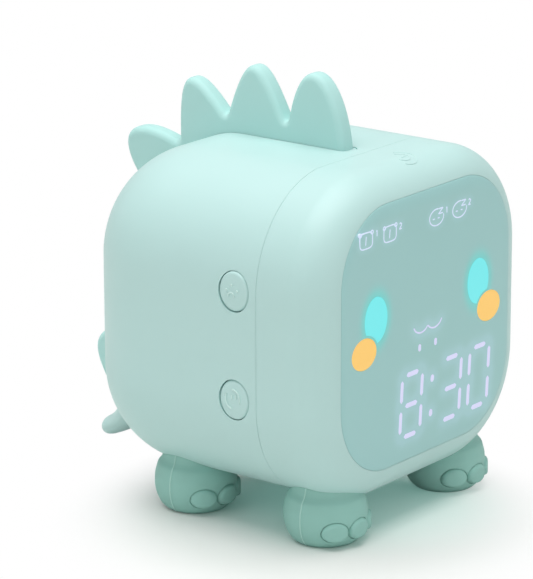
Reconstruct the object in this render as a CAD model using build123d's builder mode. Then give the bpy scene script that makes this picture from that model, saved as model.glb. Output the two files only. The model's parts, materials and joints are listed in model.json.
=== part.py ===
"""Children's alarm clock with a night light, shaped as a small dinosaur.

A rounded cube of two plastic shells stands on four rubber feet.  A flush window with a lit face
and four digits fills the front, two push buttons sit in each side, and a row of seven soft spikes
runs over the top and down the back on to the tail.

Units are millimetres.  X points to the dinosaur's left, Y to its back and Z up; the origin is on
the table, under the middle of the whole object.  Sketch planes are placed from the middle of the
casing, so every number below that names a place is measured from there.
"""

import os
from math import cos, radians, sin, tan

from build123d import *

# ---- casing
case_width = 90.0
case_depth = 81.2
case_height = 83.6
case_corner = 27.7  # round corners of the outline seen from the front
front_rim = 10.8  # fillet round the front face
rear_rim = 24.8  # fillet round the rear face
wall = 2.4
foot_height = 9.6  # from the table to the underside of the casing
case_y = -13.1  # middle of the casing from the middle of the whole object
case_z = foot_height + case_height / 2
front_y = -case_depth / 2
rear_y = case_depth / 2
top_z = case_height / 2
side_x = case_width / 2
seam_y = front_y + 19.6  # where the front and rear shells meet
seam_groove = 0.2
slip = 0.05  # clearance between fixed pieces that fit in each other
tongue_gap = 0.1  # the front shell's tongue inside the rear shell
tongue_thick = 1.2
tongue_reach = 3.0  # how far it goes past the seam
tongue_root = 4.0  # how far it starts before the seam

# ---- display window and what it shows
window_half_width = 36.25
window_half_height = 34.1
window_corner = 19.6
window_z = 0.97
window_thick = 1.2
window_lip = 2.0
inlay_depth = 0.5
lens_depth = window_thick + 0.3
well_gap = 0.15  # between the light frame's wells and what shines through them
eye_x, eye_z = 22.1, 6.7
eye_radii = (4.7, 5.95)
cheek_x, cheek_z = 27.0, -0.95
cheek_radii = (5.1, 4.0)
rib = 0.7  # dark rib of the window between eye and cheek
digit_z = -18.75
digit_places = {"8": -6.9, "3": 10.3, "0": 22.8}
blank_digit_x = -19.4
digit_half_width = 4.33
digit_half_height = 7.95
digit_slant = 3.7  # degrees
segment_long, segment_short = 5.9, 5.2
segment_width = 1.25
segments_lit = {"8": "abcdefg", "3": "abgcd", "0": "abcdef"}
colon_x, colon_half = 1.9, 4.5
colon_dot = (1.9, 1.45)
nostril_x, nostril_z = 3.45, -4.9
nostril_size = (1.9, 1.15)
mouth_half, mouth_z, mouth_drop, mouth_rise = 6.1, 0.2, 1.25, 0.55
mouth_well = (2 * mouth_half + 2.4, 8.6)
line_width = 0.4
symbol_places = [(-26.5, 27.8), (-16.5, 27.8), (3.4, 27.8), (13.4, 27.8)]
symbol_well = (7.4, 5.2)

# ---- display module
frame_back_y = front_y + 7.5
board_thick = 1.2
display_board_half = (41.0, 33.8)
display_board_corner = 23.0
display_post = (32.2, 29.2)
led_size, led_height = 1.0, 0.6
post_radii = {"display": 2.6, "side_board": 2.0, "main_board": 2.8, "tail": 3.2}
post_reach = 12.0  # long enough to end in the wall, where it is trimmed
pilot_depth = 4.5  # screw holes in the posts

# ---- side buttons
button_y = -14.1
button_heights = {"upper": 14.6, "lower": -13.1}
button_radii = (4.45, 4.95)  # a little taller than wide
button_gap = 0.3
button_face_x = side_x + 0.3
button_edge = 0.5
guide_x = 41.3  # flat inner end of the guide ring round each button
guide_radius = 6.5
guide_clearance = 0.4  # between the guide rings and the front shell's tongue
flange_radius = 5.9
flange_thick = 0.9
stem_radius = 1.6
stem_end_x = 38.2
plunger_radius = 1.7
plunger_end_x = 36.0
side_board_x = 33.6  # outer face of the two side boards
side_board_size = (12.0, 44.0)
side_board_z = 0.75
side_post_heights = (5.0, -3.5)
switch_size = 6.0
switch_height = 3.4
switch_floor = 1.0

# ---- crest of spikes, as points (y, z) in the middle plane
crest_thick = 5.6
crest_round = 1.9
valley_round = 1.2  # between two spikes
spikes = [  # foot, the two points that pull the edge up, foot
    [(-16.2, 39.0), (-14.9, 62.2), (1.2, 73.3), (3.0, 35.7)],
    [(-1.3, 37.5), (11.6, 66.9), (15.3, 67.3), (23.6, 38.3)],
    [(18.0, 41.0), (37.2, 64.4), (38.0, 53.7), (36.7, 29.0)],
    [(29.0, 32.6), (56.9, 47.2), (65.7, 33.9), (38.6, 13.9)],
    [(38.5, 25.0), (67.9, 14.5), (67.1, 9.7), (39.5, -6.0)],
    [(39.0, 6.5), (67.0, -5.2), (67.1, -6.4), (43.9, -27.5)],
    [(43.7, -15.2), (77.2, -17.5), (67.0, -27.0), (57.2, -42.5)],
]
crest_core = [  # fills the strip behind the spikes, between the first foot and the last
    (18.0, 40.5),
    (30.0, 35.0),
    (38.0, 25.0),
    (40.6, 12.0),
    (41.5, 0.0),
    (44.0, -12.0),
    (50.0, -27.0),
]
root_depth = 2.3
slot_front_y = -17.8
slot_gap = 0.15
slot_half = crest_thick / 2 + slot_gap
slot_end_z = 2.0
tail_root_line = [(40.75, -11.5), (48.6, -30.0), (57.4, -41.4)]
rail_front_y = -17.5
rail_half_width = 6.0
rail_thick = 1.5
strip_front_y = -14.6
strip_half_width = 4.0
strip_thick = 0.4
strip_chip, strip_chip_height = 3.0, 0.7
strip_chips_over = [(0, -9), (0, 1), (0, 11)]
strip_chips_behind = [(0, 7), (0, 15)]

# ---- tail, as cross-sections (upper point, lower point, half width) from the casing to the tip
tail_sections = [
    ((35.0, 6.0), (31.0, -27.0), 12.8),
    ((42.2, -8.5), (38.2, -32.0), 12.3),
    ((47.0, -21.8), (43.4, -36.3), 10.6),
    ((54.0, -33.2), (50.2, -42.4), 8.0),
    ((60.4, -41.5), (57.5, -46.9), 5.4),
    ((65.6, -45.1), (63.7, -49.6), 3.7),
]
tail_tip_round = 1.4
tail_slot = [
    (40.0, 12.0),
    (40.0, -11.7),
    (48.5, -30.15),
    (57.2, -41.6),
    (57.2, -42.8),
    (58.6, -42.0),
    (60.5, -39.0),
    (75.0, -30.0),
    (75.0, 12.0),
]

# ---- feet
foot_x = 25.9
boss_z = -35.4  # flat top of the bosses round the foot plugs
boss_radius = 4.6
boss_reach = 10.0
foot_y = {"front": -28.1, "rear": 13.4}
foot_profile = [(7.9, 0), (9.7, 2.5), (10.6, 6.4), (10.2, 10.4), (8.7, 13.5), (8.2, 16.0)]
foot_neck_radius = 8.2
foot_top = 20.0  # above the table, trimmed by the casing
toe_angles = (-40.0, 0.0, 40.0)
toe_radii = (3.55, 2.6)
toe_z = 4.6  # above the table
toe_reach = 11.6
plug_radius = 2.8
plug_top_z = -34.0
plug_reach = 10.0
washer_thick = 1.0

# ---- things inside and on the back
main_board_y = 33.0  # rear face
main_board_thick = 1.6
main_board_size = (56.0, 48.0)
main_board_z = -2.0
main_board_corner = 4.0
main_posts = [(24.0, 17.0), (-24.0, 17.0), (-24.0, -21.0), (24.0, -21.0)]
flat_chips = [((-10, 8), (10, 10)), ((-10, -3), (8, 5)), ((14, -14), (5, 4))]  # place, size
flat_chip_height = 1.2
can_places = [(6, -20), (13, -21)]
can_radius, can_height = 2.5, 5.5
clock_cell_place = (10, 2)
clock_cell_radius, clock_cell_thick = 8.0, 2.6
port_x, port_z = 24.0, -12.0
port_size = (9.0, 3.3)
port_gap = 0.5  # opening larger than the socket's shell
port_wall = 0.35
port_end_y = 39.0
port_back_thick = 0.8  # plate at the socket's closed end
port_tongue_size = (6.7, 0.7)
port_tongue_short = 1.2  # how far the tongue ends inside the shell
reset_z = 0.0
reset_hole_radius = 0.9
reset_body, reset_height = 4.0, 1.6
reset_pin_radius, reset_pin_height = 0.8, 2.6
speaker_y = 3.5
speaker_radius = 12.0
gasket_rim, gasket_thick = 1.4, 0.8
basket_height, basket_wall = 3.2, 0.8
cone_height, cone_thick = 1.8, 0.7
magnet_radius, magnet_height = 6.5, 3.4
sound_hole_radius, sound_pitch, sound_rings = 0.8, 2.9, 3
battery_y, battery_z = 8.0, -16.5
battery_radius, battery_length = 9.2, 65.0
saddle_x, saddle_thick = 17.0, 2.0
saddle_width, saddle_top_z = 16.0, -20.0
connector_x, connector_size, connector_height = 15.0, (13, 3.6), 2.0
cable_width, cable_thick = 10.0, 0.4
casing_screw_places = [(10.0, -13.0), (-10.0, -13.0)]
lug_size, lug_thick = (7.0, 18.0), 4.0
tail_screw_places = [(7.5, -25.0), (-7.5, -25.0)]
tail_boss_y = 35.8
screw_radius = 1.0
screw_head_radius, screw_head_height = 1.9, 1.2
screw_gap = 0.3
screw_recess = 1.4
screw_lengths = {"display": 5.0, "main_board": 5.8, "tail": 8.0, "casing": 5.5, "side_board": 5.0}
touch_pad_y, touch_pad_size, touch_pad_thick = -27.5, (12.0, 4.6), 0.3

os.makedirs("parts", exist_ok=True)


def save(name, piece):
    """Label a finished piece and write it as one STEP file."""
    piece.label = name
    export_step(piece, f"parts/{name}.step")


def front_plane(y):
    """A plane facing the front at depth y: local x is +X and local y is +Z."""
    return Plane((0, case_y + y, case_z), x_dir=(1, 0, 0), z_dir=(0, -1, 0))


def back_plane(y):
    """A plane facing the back at depth y: local x is -X and local y is +Z."""
    return Plane((0, case_y + y, case_z), x_dir=(-1, 0, 0), z_dir=(0, 1, 0))


def outward_plane(sign, x, y=0, z=0):
    """A plane at distance x from the middle, facing outwards on the side with the sign.

    Its origin is at (y, z); local x is sign times +Y and local y is +Z.
    """
    return Plane((sign * x, case_y + y, case_z + z), x_dir=(0, sign, 0), z_dir=(sign, 0, 0))


def side_plane(x):
    """A plane facing +X at x: local x is +Y and local y is +Z."""
    return Plane((x, case_y, case_z), x_dir=(0, 1, 0), z_dir=(1, 0, 0))


def level_plane(z):
    """A plane facing up at height z: local x is +X and local y is +Y."""
    return Plane((0, case_y, case_z + z), x_dir=(1, 0, 0), z_dir=(0, 0, 1))


def corner_points(x, y):
    """The four points (+-x, +-y)."""
    return [(x, y), (-x, y), (-x, -y), (x, -y)]


def case_outline(inset):
    """The casing's rounded outline seen from the front as a sketch, drawn in by inset."""
    with BuildSketch() as outline:
        RectangleRounded(case_width - 2 * inset, case_height - 2 * inset, case_corner - inset)
    return outline.sketch


def case_form(inset):
    """The rounded cube of the casing as a solid, drawn in by inset on every side."""
    with BuildPart() as form:
        with BuildSketch(front_plane(front_y + inset)):
            add(case_outline(inset))
        extrude(amount=-(case_depth - 2 * inset))
        fillet(form.faces().sort_by(Axis.Y)[0].edges(), front_rim - inset)
        fillet(form.faces().sort_by(Axis.Y)[-1].edges(), rear_rim - inset)
    return form.part


def case_ring(front, rear, outer_inset, inner_inset):
    """A band that follows the casing's outline between two depths."""
    with BuildPart() as band:
        with BuildSketch(front_plane(rear)):
            add(case_outline(outer_inset))
            add(case_outline(inner_inset), mode=Mode.SUBTRACT)
        extrude(amount=rear - front)
    return band.part


outer_form = case_form(0)
inner_form = case_form(wall)
core_form = case_form(wall / 2)  # trims posts and bosses so that they end inside the wall
clear_form = case_form(-slip)  # trims the pieces that sit on the outside
seam_plane = Plane((0, case_y + seam_y, case_z), z_dir=(0, 1, 0))
groove = case_ring(seam_y - seam_groove / 2, seam_y + seam_groove / 2, -1, seam_groove)


def rods(plane, places, radius, length):
    """Round rods from a plane along its normal, or against it when length is negative."""
    with BuildPart() as columns:
        with BuildSketch(plane):
            with Locations(*places):
                Circle(radius)
        extrude(amount=length)
    return columns.part


def posts(plane, places, radius, length):
    """Rods from a plane that end inside the casing's wall."""
    with BuildPart() as columns:
        add(rods(plane, places, radius, length))
        add(core_form, mode=Mode.INTERSECT)
    return columns.part


# ---- display: outlines shared by the window, its lit inlays and the light frame behind it


def window_outline(inset):
    """The window's rounded rectangle as a sketch, drawn in by inset."""
    with BuildSketch() as outline:
        with Locations((0, window_z)):
            RectangleRounded(
                2 * (window_half_width - inset),
                2 * (window_half_height - inset),
                window_corner - inset,
            )
    return outline.sketch


def eye_outline(grow):
    """Both eyes: ellipses with a bite taken out round each cheek."""
    with BuildSketch() as outline:
        with Locations((eye_x, eye_z), (-eye_x, eye_z)):
            Ellipse(eye_radii[0] + grow, eye_radii[1] + grow)
        with Locations((cheek_x, cheek_z), (-cheek_x, cheek_z)):
            Ellipse(cheek_radii[0] + rib - grow, cheek_radii[1] + rib - grow, mode=Mode.SUBTRACT)
    return outline.sketch


def cheek_outline(grow):
    """Both cheeks: flat ellipses."""
    with BuildSketch() as outline:
        with Locations((cheek_x, cheek_z), (-cheek_x, cheek_z)):
            Ellipse(cheek_radii[0] + grow, cheek_radii[1] + grow)
    return outline.sketch


def segment_places(digit_x, letters):
    """Centre and angle of each named segment of a seven-segment digit at digit_x."""
    half_w, half_h = digit_half_width, digit_half_height
    places = {
        "a": (0, half_h, 0),
        "b": (half_w, half_h / 2, 90),
        "c": (half_w, -half_h / 2, 90),
        "d": (0, -half_h, 0),
        "e": (-half_w, -half_h / 2, 90),
        "f": (-half_w, half_h / 2, 90),
        "g": (0, 0, 0),
    }
    lean = tan(radians(digit_slant))
    spots = []
    for letter in letters:
        dx, dz, angle = places[letter]
        turn = angle - digit_slant if angle else 0
        spots.append(Location((digit_x + dx + lean * dz, digit_z + dz, 0), (0, 0, turn)))
    return spots


def segment_outline(grow, all_segments=False):
    """The bars of the digits: the lit ones, or every bar of the four places."""
    half = segment_width / 2 + grow
    places = []
    for figure, digit_x in digit_places.items():
        places += segment_places(digit_x, "abcdefg" if all_segments else segments_lit[figure])
    if all_segments:
        places += segment_places(blank_digit_x, "abcdefg")
    with BuildSketch() as outline:
        for place in places:
            long_bar = abs(place.orientation.Z) > 45
            end = (segment_long if long_bar else segment_short) / 2 + grow
            with Locations(place):
                Polygon(
                    (-end, 0),
                    (-end + half, half),
                    (end - half, half),
                    (end, 0),
                    (end - half, -half),
                    (-end + half, -half),
                )
    return outline.sketch


def colon_outline(grow):
    """The two dots between hours and minutes."""
    lean = tan(radians(digit_slant)) * colon_half
    with BuildSketch() as outline:
        with Locations((colon_x + lean, digit_z + colon_half), (colon_x - lean, digit_z - colon_half)):
            SlotOverall(colon_dot[0] + 2 * grow, colon_dot[1] + 2 * grow, rotation=90 - digit_slant)
    return outline.sketch


def mouth_outline(grow):
    """A smile of two shallow arcs that meet in a peak, with two nostril dots under it."""
    with BuildSketch() as outline:
        for side in (-1, 1):
            with BuildLine() as smile:
                ThreePointArc(
                    (0, mouth_z),
                    (side * mouth_half * 0.52, mouth_z - mouth_drop),
                    (side * mouth_half, mouth_z + mouth_rise),
                )
            trace(smile.line, line_width + 2 * grow)
        with Locations((nostril_x, nostril_z), (-nostril_x, nostril_z)):
            SlotOverall(nostril_size[0] + 2 * grow, nostril_size[1] + 2 * grow, rotation=90)
    return outline.sketch


lit_marks = {"lit_segments": segment_outline, "colon_dots": colon_outline, "mouth_line": mouth_outline}

# window: a flush plate, open for the eyes and cheeks, pocketed for the lit marks
with BuildPart() as display_window:
    with BuildSketch(front_plane(front_y + window_thick)):
        add(window_outline(slip))
        add(eye_outline(slip), mode=Mode.SUBTRACT)
        add(cheek_outline(slip), mode=Mode.SUBTRACT)
    extrude(amount=2 * window_thick)
    with BuildSketch(front_plane(front_y + inlay_depth)):
        for outline_of in lit_marks.values():
            add(outline_of(slip))
    extrude(amount=2 * inlay_depth, mode=Mode.SUBTRACT)
    add(outer_form, mode=Mode.INTERSECT)
save("display_window", display_window.part)

with BuildPart() as eye_lenses:
    with BuildSketch(front_plane(front_y + lens_depth)):
        add(eye_outline(0))
    extrude(amount=lens_depth)
save("eye_lenses", eye_lenses.part)

with BuildPart() as cheek_lenses:
    with BuildSketch(front_plane(front_y + lens_depth)):
        add(cheek_outline(0))
    extrude(amount=lens_depth)
save("cheek_lenses", cheek_lenses.part)

for name, outline_of in lit_marks.items():
    with BuildPart() as lit_mark:
        with BuildSketch(front_plane(front_y + inlay_depth - slip)):
            add(outline_of(0))
        extrude(amount=inlay_depth - slip)
    save(name, lit_mark.part)

# light frame: a white grid whose wells keep the light of each mark apart
light_frame_front = front_y + lens_depth + slip
with BuildPart() as light_frame:
    with BuildSketch(front_plane(frame_back_y)):
        add(window_outline(window_lip + well_gap))
        add(eye_outline(well_gap), mode=Mode.SUBTRACT)
        add(cheek_outline(well_gap), mode=Mode.SUBTRACT)
        add(segment_outline(well_gap, all_segments=True), mode=Mode.SUBTRACT)
        add(colon_outline(well_gap), mode=Mode.SUBTRACT)
        with Locations((0, (mouth_z + nostril_z) / 2)):
            SlotOverall(*mouth_well, mode=Mode.SUBTRACT)
        with Locations(*symbol_places):
            SlotOverall(*symbol_well, mode=Mode.SUBTRACT)
    extrude(amount=frame_back_y - light_frame_front)
save("light_frame", light_frame.part)

display_board_front = frame_back_y + 0.1
with BuildPart() as display_board:
    with BuildSketch(front_plane(display_board_front + board_thick)):
        RectangleRounded(2 * display_board_half[0], 2 * display_board_half[1], display_board_corner)
        with Locations(corner_points(*display_post)):
            Circle(screw_radius + screw_gap, mode=Mode.SUBTRACT)
    extrude(amount=board_thick)
save("display_board", display_board.part)

# one light chip behind every bar, dot and lens
chip_spots = [(eye_x, eye_z), (-eye_x, eye_z), (cheek_x, cheek_z - 1), (-cheek_x, cheek_z - 1)]
chip_spots += [(colon_x, digit_z + colon_half), (colon_x, digit_z - colon_half), (0, -2.5)]
chip_spots += symbol_places
for digit_x in [*digit_places.values(), blank_digit_x]:
    chip_spots += [(place.position.X, place.position.Y) for place in segment_places(digit_x, "abcdefg")]
with BuildPart() as led_chips:
    with BuildSketch(front_plane(display_board_front)):
        with Locations(*chip_spots):
            Rectangle(led_size, led_size)
    extrude(amount=led_height)
save("led_chips", led_chips.part)


def screw(length):
    """A pan-head screw at the origin: its head stands on the XY plane and its shank runs below."""
    with BuildPart() as fastener:
        with BuildSketch():
            Circle(screw_head_radius)
        extrude(amount=screw_head_height)
        with BuildSketch():
            Circle(screw_radius - 0.1)
        extrude(amount=-length)
    return fastener.part


def pan_screws(name, plane, places, length):
    """Save one group of equal pan-head screws standing on a plane."""
    with BuildPart() as fasteners:
        with Locations(*[plane * Location((x, y, 0)) for x, y in places]):
            add(screw(length))
    save(name, fasteners.part)


# ---- front shell
display_board_rear = display_board_front + board_thick
button_spots = [(button_y, height) for height in button_heights.values()]
display_posts = corner_points(*display_post)
front_feet = [(foot_x, foot_y["front"]), (-foot_x, foot_y["front"])]
rear_feet = [(foot_x, foot_y["rear"]), (-foot_x, foot_y["rear"])]

with BuildPart() as front_casing:
    add(outer_form)
    add(inner_form, mode=Mode.SUBTRACT)
    split(bisect_by=seam_plane, keep=Keep.BOTTOM)
    add(groove, mode=Mode.SUBTRACT)
    # tongue that centres the rear shell, notched round the button guides
    tongue_inner = wall + tongue_gap + tongue_thick
    add(case_ring(seam_y - tongue_root, seam_y + tongue_reach, wall + tongue_gap, tongue_inner))
    add(case_ring(seam_y - tongue_root, seam_y - 1, wall / 2, tongue_inner))
    notch_radius = guide_radius + guide_clearance
    add(rods(side_plane(-side_x), button_spots, notch_radius, 2 * side_x), mode=Mode.SUBTRACT)
    # window seat and the opening behind it
    with BuildSketch(front_plane(front_y + window_thick + slip)):
        add(window_outline(0))
    extrude(amount=2 * window_thick, mode=Mode.SUBTRACT)
    with BuildSketch(front_plane(display_board_front)):
        add(window_outline(window_lip))
    extrude(amount=display_board_front - front_y, mode=Mode.SUBTRACT)
    # posts for the display board
    board_seat = front_plane(display_board_front)
    add(posts(board_seat, display_posts, post_radii["display"], post_reach))
    add(rods(board_seat, display_posts, screw_radius, pilot_depth), mode=Mode.SUBTRACT)
    # bosses for the front foot plugs
    add(posts(level_plane(boss_z), front_feet, boss_radius, -boss_reach))
    add(rods(level_plane(boss_z), front_feet, plug_radius + slip, -boss_reach), mode=Mode.SUBTRACT)
    # lugs that the two casing screws bite into
    with BuildSketch(level_plane(-top_z + wall + tongue_gap)):
        with Locations(*[(x, y - 5) for x, y in casing_screw_places]):
            Rectangle(*lug_size)
    extrude(amount=lug_thick)
    add(rods(level_plane(-top_z), casing_screw_places, screw_radius, 8), mode=Mode.SUBTRACT)
save("front_casing", front_casing.part)


# ---- crest: outline, slot and the parts under it


def band_outline(outer, inner, start_y, end_z):
    """A strip that follows the casing's middle section over the top and down the back.

    outer and inner are its two depths below the surface; it starts at start_y on top and stops
    at end_z on the back.
    """
    bend_y = rear_y - rear_rim
    with BuildSketch() as outline:
        with BuildLine():
            run_out = Line((start_y, top_z - outer), (bend_y, top_z - outer))
            bend_out = JernArc(run_out @ 1, (1, 0), rear_rim - outer, -90)
            drop = Line(bend_out @ 1, (rear_y - outer, end_z))
            foot = Line(drop @ 1, (rear_y - inner, end_z))
            rise = Line(foot @ 1, (rear_y - inner, top_z - rear_rim))
            bend_in = JernArc(rise @ 1, (0, 1), rear_rim - inner, 90)
            run_in = Line(bend_in @ 1, (start_y, top_z - inner))
            Line(run_in @ 1, run_out @ 0)
        make_face()
    return outline.sketch


def root_outline():
    """Everything the crest may not reach into: the casing below its slot, and the tail."""
    with BuildSketch() as outline:
        with BuildLine():
            top = Line((-40, top_z - root_depth), (rear_y - rear_rim, top_z - root_depth))
            bend = JernArc(top @ 1, (1, 0), rear_rim - root_depth, -90)
            Polyline(
                bend @ 1,
                (rear_y - root_depth, slot_end_z),
                (rear_y + slip, slot_end_z),
                *tail_root_line,
                (tail_root_line[-1][0], -60),
                (-40, -60),
                top @ 0,
            )
        make_face()
    return outline.sketch


def crest_outline():
    """All spikes and the strip behind them as one outline, with round valleys."""
    with BuildSketch() as outline:
        for points in spikes:
            with BuildLine():
                edge = Bezier(*points)
                Line(edge @ 1, edge @ 0)
            make_face()
        Polygon(spikes[0][0], *crest_core, spikes[-1][-1], (0, spikes[-1][-1][1]), (0, 0))
        rims = outline.edges().filter_by(GeomType.BEZIER)
        valleys = []
        for corner in outline.vertices():
            if sum(edge.distance_to(corner) < 0.001 for edge in rims) == 2:
                valleys.append(corner)
        fillet(valleys, valley_round)
    return outline.sketch


with BuildPart() as crest:
    with BuildSketch(side_plane(-crest_thick / 2)):
        add(crest_outline())
    extrude(amount=crest_thick)
    flat_sides = crest.faces().filter_by(GeomType.PLANE).filter_by(Axis.X)
    fillet([edge for edge in flat_sides.edges() if edge.geom_type != GeomType.LINE], crest_round)
    with BuildSketch(side_plane(-crest_thick)):
        add(root_outline())
    extrude(amount=2 * crest_thick, mode=Mode.SUBTRACT)
save("crest", crest.part)

with BuildPart() as crest_rail:
    with BuildSketch(side_plane(-rail_half_width)):
        add(band_outline(wall + slip, wall + slip + rail_thick, rail_front_y, slot_end_z))
    extrude(amount=2 * rail_half_width)
save("crest_rail", crest_rail.part)

strip_depth = wall + slip + rail_thick + 1.1
with BuildPart() as light_strip:
    with BuildSketch(side_plane(-strip_half_width)):
        add(band_outline(strip_depth, strip_depth + strip_thick, strip_front_y, slot_end_z + 1))
    extrude(amount=2 * strip_half_width)
save("light_strip", light_strip.part)

with BuildPart() as strip_chips:
    with BuildSketch(level_plane(top_z - strip_depth)):
        with Locations(*strip_chips_over):
            Rectangle(strip_chip, strip_chip)
    extrude(amount=strip_chip_height)
    with BuildSketch(front_plane(rear_y - strip_depth)):
        with Locations(*strip_chips_behind):
            Rectangle(strip_chip, strip_chip)
    extrude(amount=-strip_chip_height)
save("strip_chips", strip_chips.part)

# ---- rear shell


def battery_saddles():
    """Two ribs on the casing's floor, hollowed to the round of the battery."""
    with BuildPart() as ribs:
        for side in (-1, 1):
            with BuildSketch(side_plane(side * saddle_x - saddle_thick / 2)):
                with Locations((battery_y, (saddle_top_z - top_z) / 2)):
                    Rectangle(saddle_width, saddle_top_z + top_z)
                with Locations((battery_y, battery_z)):
                    Circle(battery_radius + slip, mode=Mode.SUBTRACT)
            extrude(amount=saddle_thick)
        add(core_form, mode=Mode.INTERSECT)
    return ribs.part


with BuildPart() as rear_casing:
    add(outer_form)
    add(inner_form, mode=Mode.SUBTRACT)
    split(bisect_by=seam_plane, keep=Keep.TOP)
    add(groove, mode=Mode.SUBTRACT)
    # flat-ended guide rings round the buttons, and posts for the side boards
    for side in (-1, 1):
        spots = [(side * y, z) for y, z in button_spots]
        add(posts(outward_plane(side, guide_x), spots, guide_radius, side_x - guide_x))
        with BuildSketch(outward_plane(side, guide_x)):
            with Locations(*spots):
                Ellipse(button_radii[0] + button_gap, button_radii[1] + button_gap)
        extrude(amount=side_x - guide_x + 1, mode=Mode.SUBTRACT)
        spots = [(side * button_y, z) for z in side_post_heights]
        add(posts(outward_plane(side, side_board_x), spots, post_radii["side_board"], post_reach))
        add(rods(outward_plane(side, side_board_x), spots, screw_radius, pilot_depth), mode=Mode.SUBTRACT)
    # slot for the crest, with a round front end
    with BuildSketch(side_plane(-slot_half)):
        add(band_outline(-1, wall + 0.5, slot_front_y + slot_half, slot_end_z))
    extrude(amount=2 * slot_half, mode=Mode.SUBTRACT)
    slot_end = [(0, slot_front_y + slot_half)]
    add(rods(level_plane(top_z - wall - 0.5), slot_end, slot_half, 2 * wall), mode=Mode.SUBTRACT)
    # posts for the main board and bosses for the tail screws
    posts_behind = [(-x, z) for x, z in main_posts]
    add(posts(back_plane(main_board_y), posts_behind, post_radii["main_board"], post_reach))
    add(rods(back_plane(main_board_y), posts_behind, screw_radius, pilot_depth), mode=Mode.SUBTRACT)
    tail_seat = back_plane(tail_boss_y)
    add(posts(tail_seat, tail_screw_places, post_radii["tail"], post_reach))
    add(rods(tail_seat, tail_screw_places, screw_radius + screw_gap, post_reach), mode=Mode.SUBTRACT)
    # bosses for the rear foot plugs
    add(posts(level_plane(boss_z), rear_feet, boss_radius, -boss_reach))
    add(rods(level_plane(boss_z), rear_feet, plug_radius + slip, -boss_reach), mode=Mode.SUBTRACT)
    # two saddles under the battery
    add(battery_saddles())
    # socket opening and reset hole in the back
    with BuildSketch(back_plane(main_board_y)):
        with Locations((-port_x, port_z)):
            SlotOverall(port_size[0] + port_gap, port_size[1] + port_gap)
        with Locations((-port_x, reset_z)):
            Circle(reset_hole_radius)
    extrude(amount=rear_y, mode=Mode.SUBTRACT)
    # sound holes and casing-screw holes in the floor
    with BuildSketch(level_plane(-top_z)):
        with Locations((0, speaker_y)):
            Circle(sound_hole_radius)
            for ring in range(1, sound_rings + 1):
                with PolarLocations(sound_pitch * ring, 6 * ring):
                    Circle(sound_hole_radius)
        with Locations(*casing_screw_places):
            Circle(screw_radius + screw_gap)
    extrude(amount=wall + 1, mode=Mode.SUBTRACT)
    recess_radius = screw_head_radius + 0.4
    add(rods(level_plane(-top_z), casing_screw_places, recess_radius, screw_recess), mode=Mode.SUBTRACT)
save("rear_casing", rear_casing.part)

# ---- tail: a rounded taper that leaves the back under the crest
with BuildPart() as tail:
    for upper, lower, half_width in tail_sections:
        rise_y, rise_z = upper[0] - lower[0], upper[1] - lower[1]
        chord = Vector(0, rise_y, rise_z)
        middle = Vector(0, case_y + (upper[0] + lower[0]) / 2, case_z + (upper[1] + lower[1]) / 2)
        section = Plane(middle, x_dir=(1, 0, 0), z_dir=chord.cross(Vector(1, 0, 0)))
        with BuildSketch(section):
            Ellipse(half_width, chord.length / 2)
    loft()
    add(clear_form, mode=Mode.SUBTRACT)
    fillet(tail.faces().filter_by(GeomType.PLANE).sort_by(Axis.Z)[0].edges(), tail_tip_round)
    with BuildSketch(side_plane(-slot_half)):
        Polygon(*tail_slot)
    extrude(amount=2 * slot_half, mode=Mode.SUBTRACT)
    add(rods(tail_seat, tail_screw_places, screw_radius, screw_lengths["tail"] + 1), mode=Mode.SUBTRACT)
save("tail", tail.part)

# ---- feet: rubber, each with three toenails and a plug that goes through the casing's floor
for place, y in foot_y.items():
    for side, sign in {"right": -1, "left": 1}.items():
        foot_plane = Plane((sign * foot_x, case_y + y, 0), x_dir=(1, 0, 0), z_dir=(0, -1, 0))
        with BuildPart() as foot:
            with BuildSketch(foot_plane):
                with BuildLine():
                    skin = Spline(*foot_profile)
                    Polyline(skin @ 1, (foot_neck_radius, foot_top), (0, foot_top), (0, 0), skin @ 0)
                make_face()
            revolve(axis=Axis(foot_plane.origin, (0, 0, 1)))
            for angle in toe_angles:
                outward = (sin(radians(angle)), -cos(radians(angle)), 0)
                toe_plane = Plane(foot_plane.origin + Vector(0, 0, toe_z), z_dir=outward, x_dir=(0, 0, 1))
                with BuildSketch(toe_plane.offset(foot_neck_radius)):
                    Ellipse(toe_radii[1], toe_radii[0])
                extrude(amount=toe_reach - foot_neck_radius)
            add(clear_form, mode=Mode.SUBTRACT)
            with BuildSketch(level_plane(plug_top_z)):
                with Locations((sign * foot_x, y)):
                    Circle(plug_radius)
            extrude(amount=-plug_reach)
        save(f"foot_{place}_{side}", foot.part)

with BuildPart() as foot_washers:
    with BuildSketch(level_plane(boss_z)):
        with Locations(*front_feet, *rear_feet):
            Circle(boss_radius - 0.2)
            Circle(plug_radius + slip, mode=Mode.SUBTRACT)
    extrude(amount=washer_thick)
save("foot_washers", foot_washers.part)

# ---- side buttons, each with the plunger of its switch
for side, sign in {"right": -1, "left": 1}.items():
    for height, z in button_heights.items():
        flange_seat = outward_plane(sign, guide_x - button_gap, button_y, z)
        with BuildPart() as button:
            with BuildSketch(outward_plane(sign, stem_end_x, button_y, z)):
                Circle(stem_radius)
            extrude(amount=guide_x - stem_end_x)
            with BuildSketch(flange_seat):
                Circle(flange_radius)
            extrude(amount=-flange_thick)
            with BuildSketch(flange_seat):
                Ellipse(*button_radii)
            extrude(amount=button_face_x - guide_x + button_gap)
            fillet(button.faces().sort_by(Axis.X)[-1 if sign > 0 else 0].edges(), button_edge)
        save(f"button_{side}_{height}", button.part)
        with BuildPart() as plunger:
            with BuildSketch(outward_plane(sign, plunger_end_x, button_y, z)):
                Circle(plunger_radius)
            extrude(amount=stem_end_x - plunger_end_x - slip)
        save(f"plunger_{side}_{height}", plunger.part)

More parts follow.
